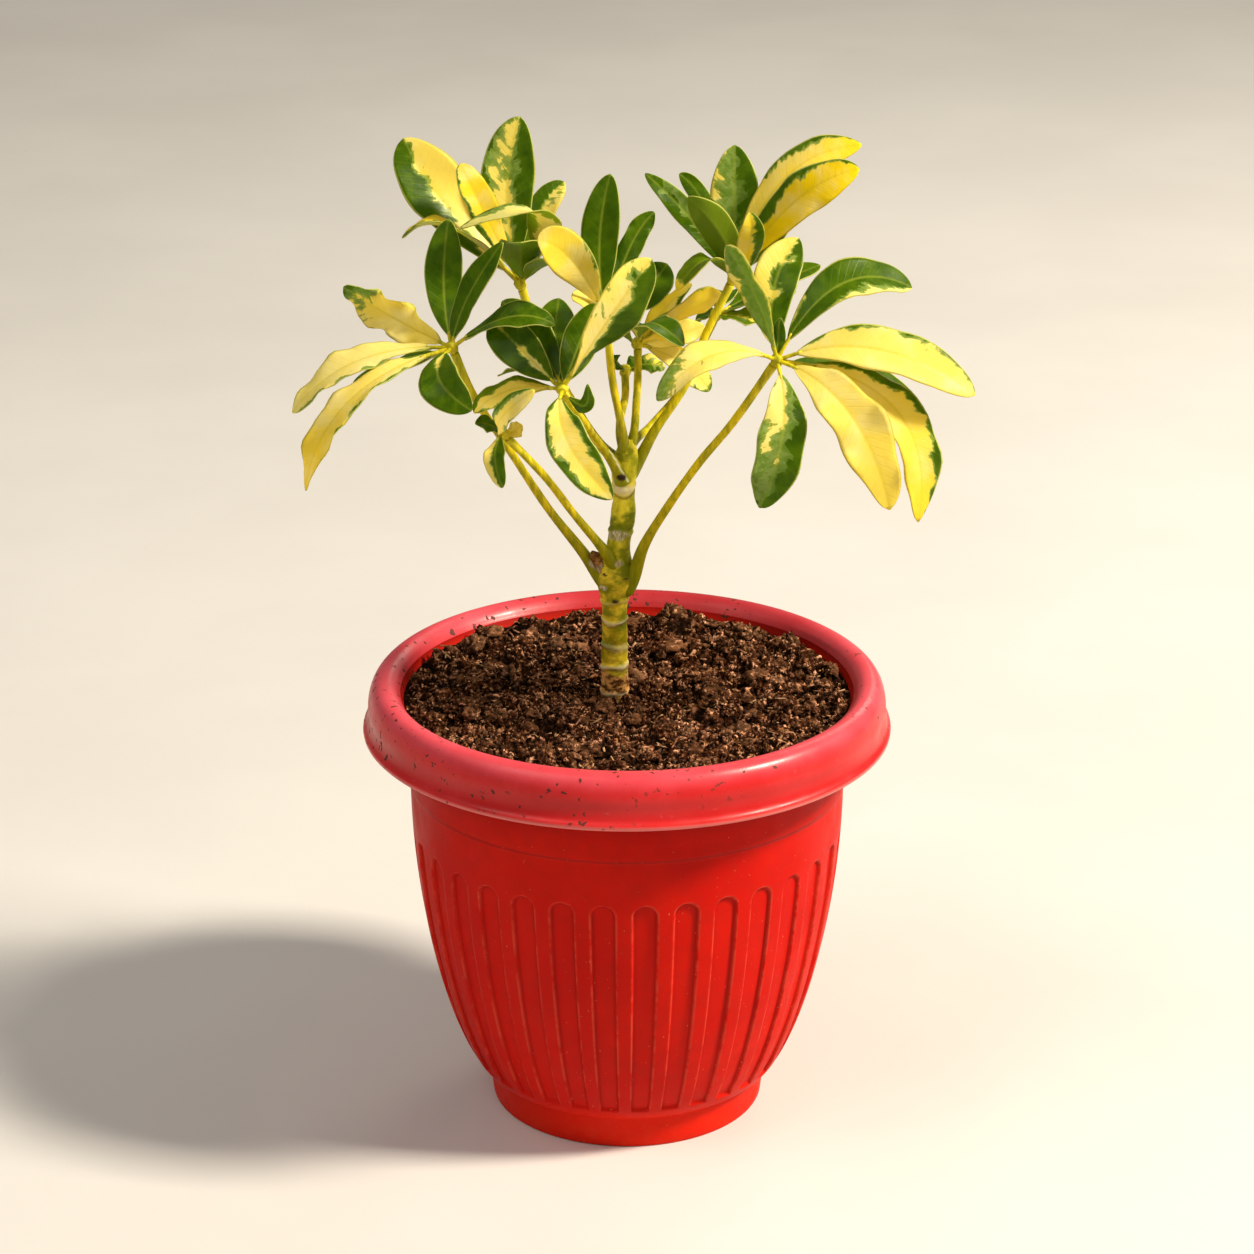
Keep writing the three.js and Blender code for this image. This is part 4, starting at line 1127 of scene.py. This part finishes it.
def add_lumps(mesh, rng):
    fine, coarse = ball(3), ball(2)
    for i in range(LUMP_COUNT):
        x, y, r = scatter(rng, 121)
        size = rng.uniform(4, 7.5) if i < BIG_LUMPS else 1.0 + 3.4 * rng.random() ** 2.6
        if hypot(x - FOOT_X, y) < TRUNK_GAP + size or r > 124 - size:
            continue
        points, faces = fine if size > 1.8 else coarse
        seed = rng.uniform(0, 90)
        rough = np.array([1 + sum(share * noise.noise(Vector(p * scale + seed))
                                  for share, scale in LUMP_RELIEF) for p in points])
        stretch = rng.uniform(0.55, 1.2, 3) * size
        stretch[2] *= 0.7 if size > 4 else 1
        lumpy = points * rough[:, None] * stretch + (x, y, surface(x, y)[0] + 0.1 * size)
        # Painted shade in the hollows of each lump's surface.
        mesh.add(lumpy, faces, 0, crack=0.95 * smoothstep(1.05, 0.7, rough),
                 chip=0.4 * rng.random() ** 2, hue=0.3 * rng.random())


def add_chips(mesh, rng):
    outline = (-1, -1), (1, -0.7), (0.6, 1), (-1, 0.8)
    corners = [(sx, sy, sz) for sz in (-1, 1) for sx, sy in outline]
    faces = [(3, 2, 1, 0), (4, 5, 6, 7), (0, 1, 5, 4), (1, 2, 6, 5), (2, 3, 7, 6), (3, 0, 4, 7)]
    for _ in range(CHIP_COUNT):
        x, y, _ = scatter(rng, 122)
        if hypot(x - FOOT_X, y) < TRUNK_GAP:
            continue
        long, wide = 0.8 + 3.4 * rng.random() ** 2, rng.uniform(0.25, 0.8)
        turn, tilt = rng.uniform(0, TAU), rng.uniform(-0.7, 0.7)
        flat = cos(tilt)
        ax = np.array((cos(turn) * flat, sin(turn) * flat, sin(tilt)))
        ay = unit(np.cross((0, 0, 1), ax))
        az = np.cross(ax, ay)
        centre = np.array((x, y, surface(x, y)[0] + 0.4))
        points = np.array([centre + ax * long * sx + ay * wide * sy + az * 0.3 * sz
                           for sx, sy, sz in corners])
        mesh.add(points, faces, 0, chip=(rng.random() < 0.5) * rng.uniform(0.3, 1),
                 hue=rng.random() ** 2)


def make_soil():
    rng = np.random.default_rng(11)
    points, faces, crack_shades = soil_bed()
    mesh = Mesh().add(points, faces, 0, chip=0.0, hue=0.0, crack=crack_shades)
    add_lumps(mesh, rng)
    add_chips(mesh, rng)
    piece = mesh.build("soil_crumbly", [SOIL])
    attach(piece, "root")
    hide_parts("soil")


make_soil()

# ---- stage
FLOOR_HALF, FLOOR_DROP = 9, 0.0002
# The camera's place, in metres, its tilt and its focal length in pixels of the photograph.
CAMERA_PLACE = (0, -2.1027, 1.103)
CAMERA_DOWN = 21.18
FOCAL_PIXELS, PHOTO_PIXELS, SENSOR = 4000, 1254, 36
# The lamps: place and target in metres, size, power and colour.
LAMPS = {
    "key": ((2.9, -0.75, 3.2), (0, 0, 0.35), 0.7, 330, (1.0, 0.90, 0.74)),
    "back": ((1.0, 2.1, 1.6), (0, 0, 0.45), 1.0, 11, (1.0, 0.91, 0.76)),
    "fill": ((-1.7, -1.2, 3.0), (0, 0, 0.4), 2.0, 36, (1.0, 0.96, 0.90)),
}
SKY_COLOUR, SKY_STRENGTH = (1.0, 0.95, 0.87, 1), 0.24


def make_floor():
    corners = [(-1, -1), (1, -1), (1, 1), (-1, 1)]
    mesh = bpy.data.meshes.new("floor")
    points = [(FLOOR_HALF * x, FLOOR_HALF * y, -FLOOR_DROP) for x, y in corners]
    mesh.from_pydata(points, [], [(0, 1, 2, 3)])
    mesh.materials.append(floor_material())
    add_object("floor", mesh)


def make_light():
    for name, (place, target, size, power, colour) in LAMPS.items():
        data = bpy.data.lights.new(name, "AREA")
        data.size, data.energy, data.color = size, power, colour
        lamp = add_object(name, data)
        lamp.location = place
        lamp.rotation_euler = (Vector(target) - Vector(place)).to_track_quat("-Z", "Y").to_euler()
    world = bpy.data.worlds.new("world")
    bpy.context.scene.world = world
    world.use_nodes = True
    sky = world.node_tree.nodes["Background"]
    sky.inputs[0].default_value = SKY_COLOUR
    sky.inputs[1].default_value = SKY_STRENGTH


def make_camera():
    data = bpy.data.cameras.new("camera")
    data.sensor_width, data.sensor_fit = SENSOR, "HORIZONTAL"
    data.lens = FOCAL_PIXELS / PHOTO_PIXELS * SENSOR
    data.clip_end = 100
    camera = add_object("camera", data)
    camera.location = CAMERA_PLACE
    camera.rotation_euler = (radians(90 - CAMERA_DOWN), 0, 0)
    bpy.context.scene.camera = camera
    bpy.context.scene.view_settings.view_transform = "Standard"


make_floor()
make_light()
make_camera()
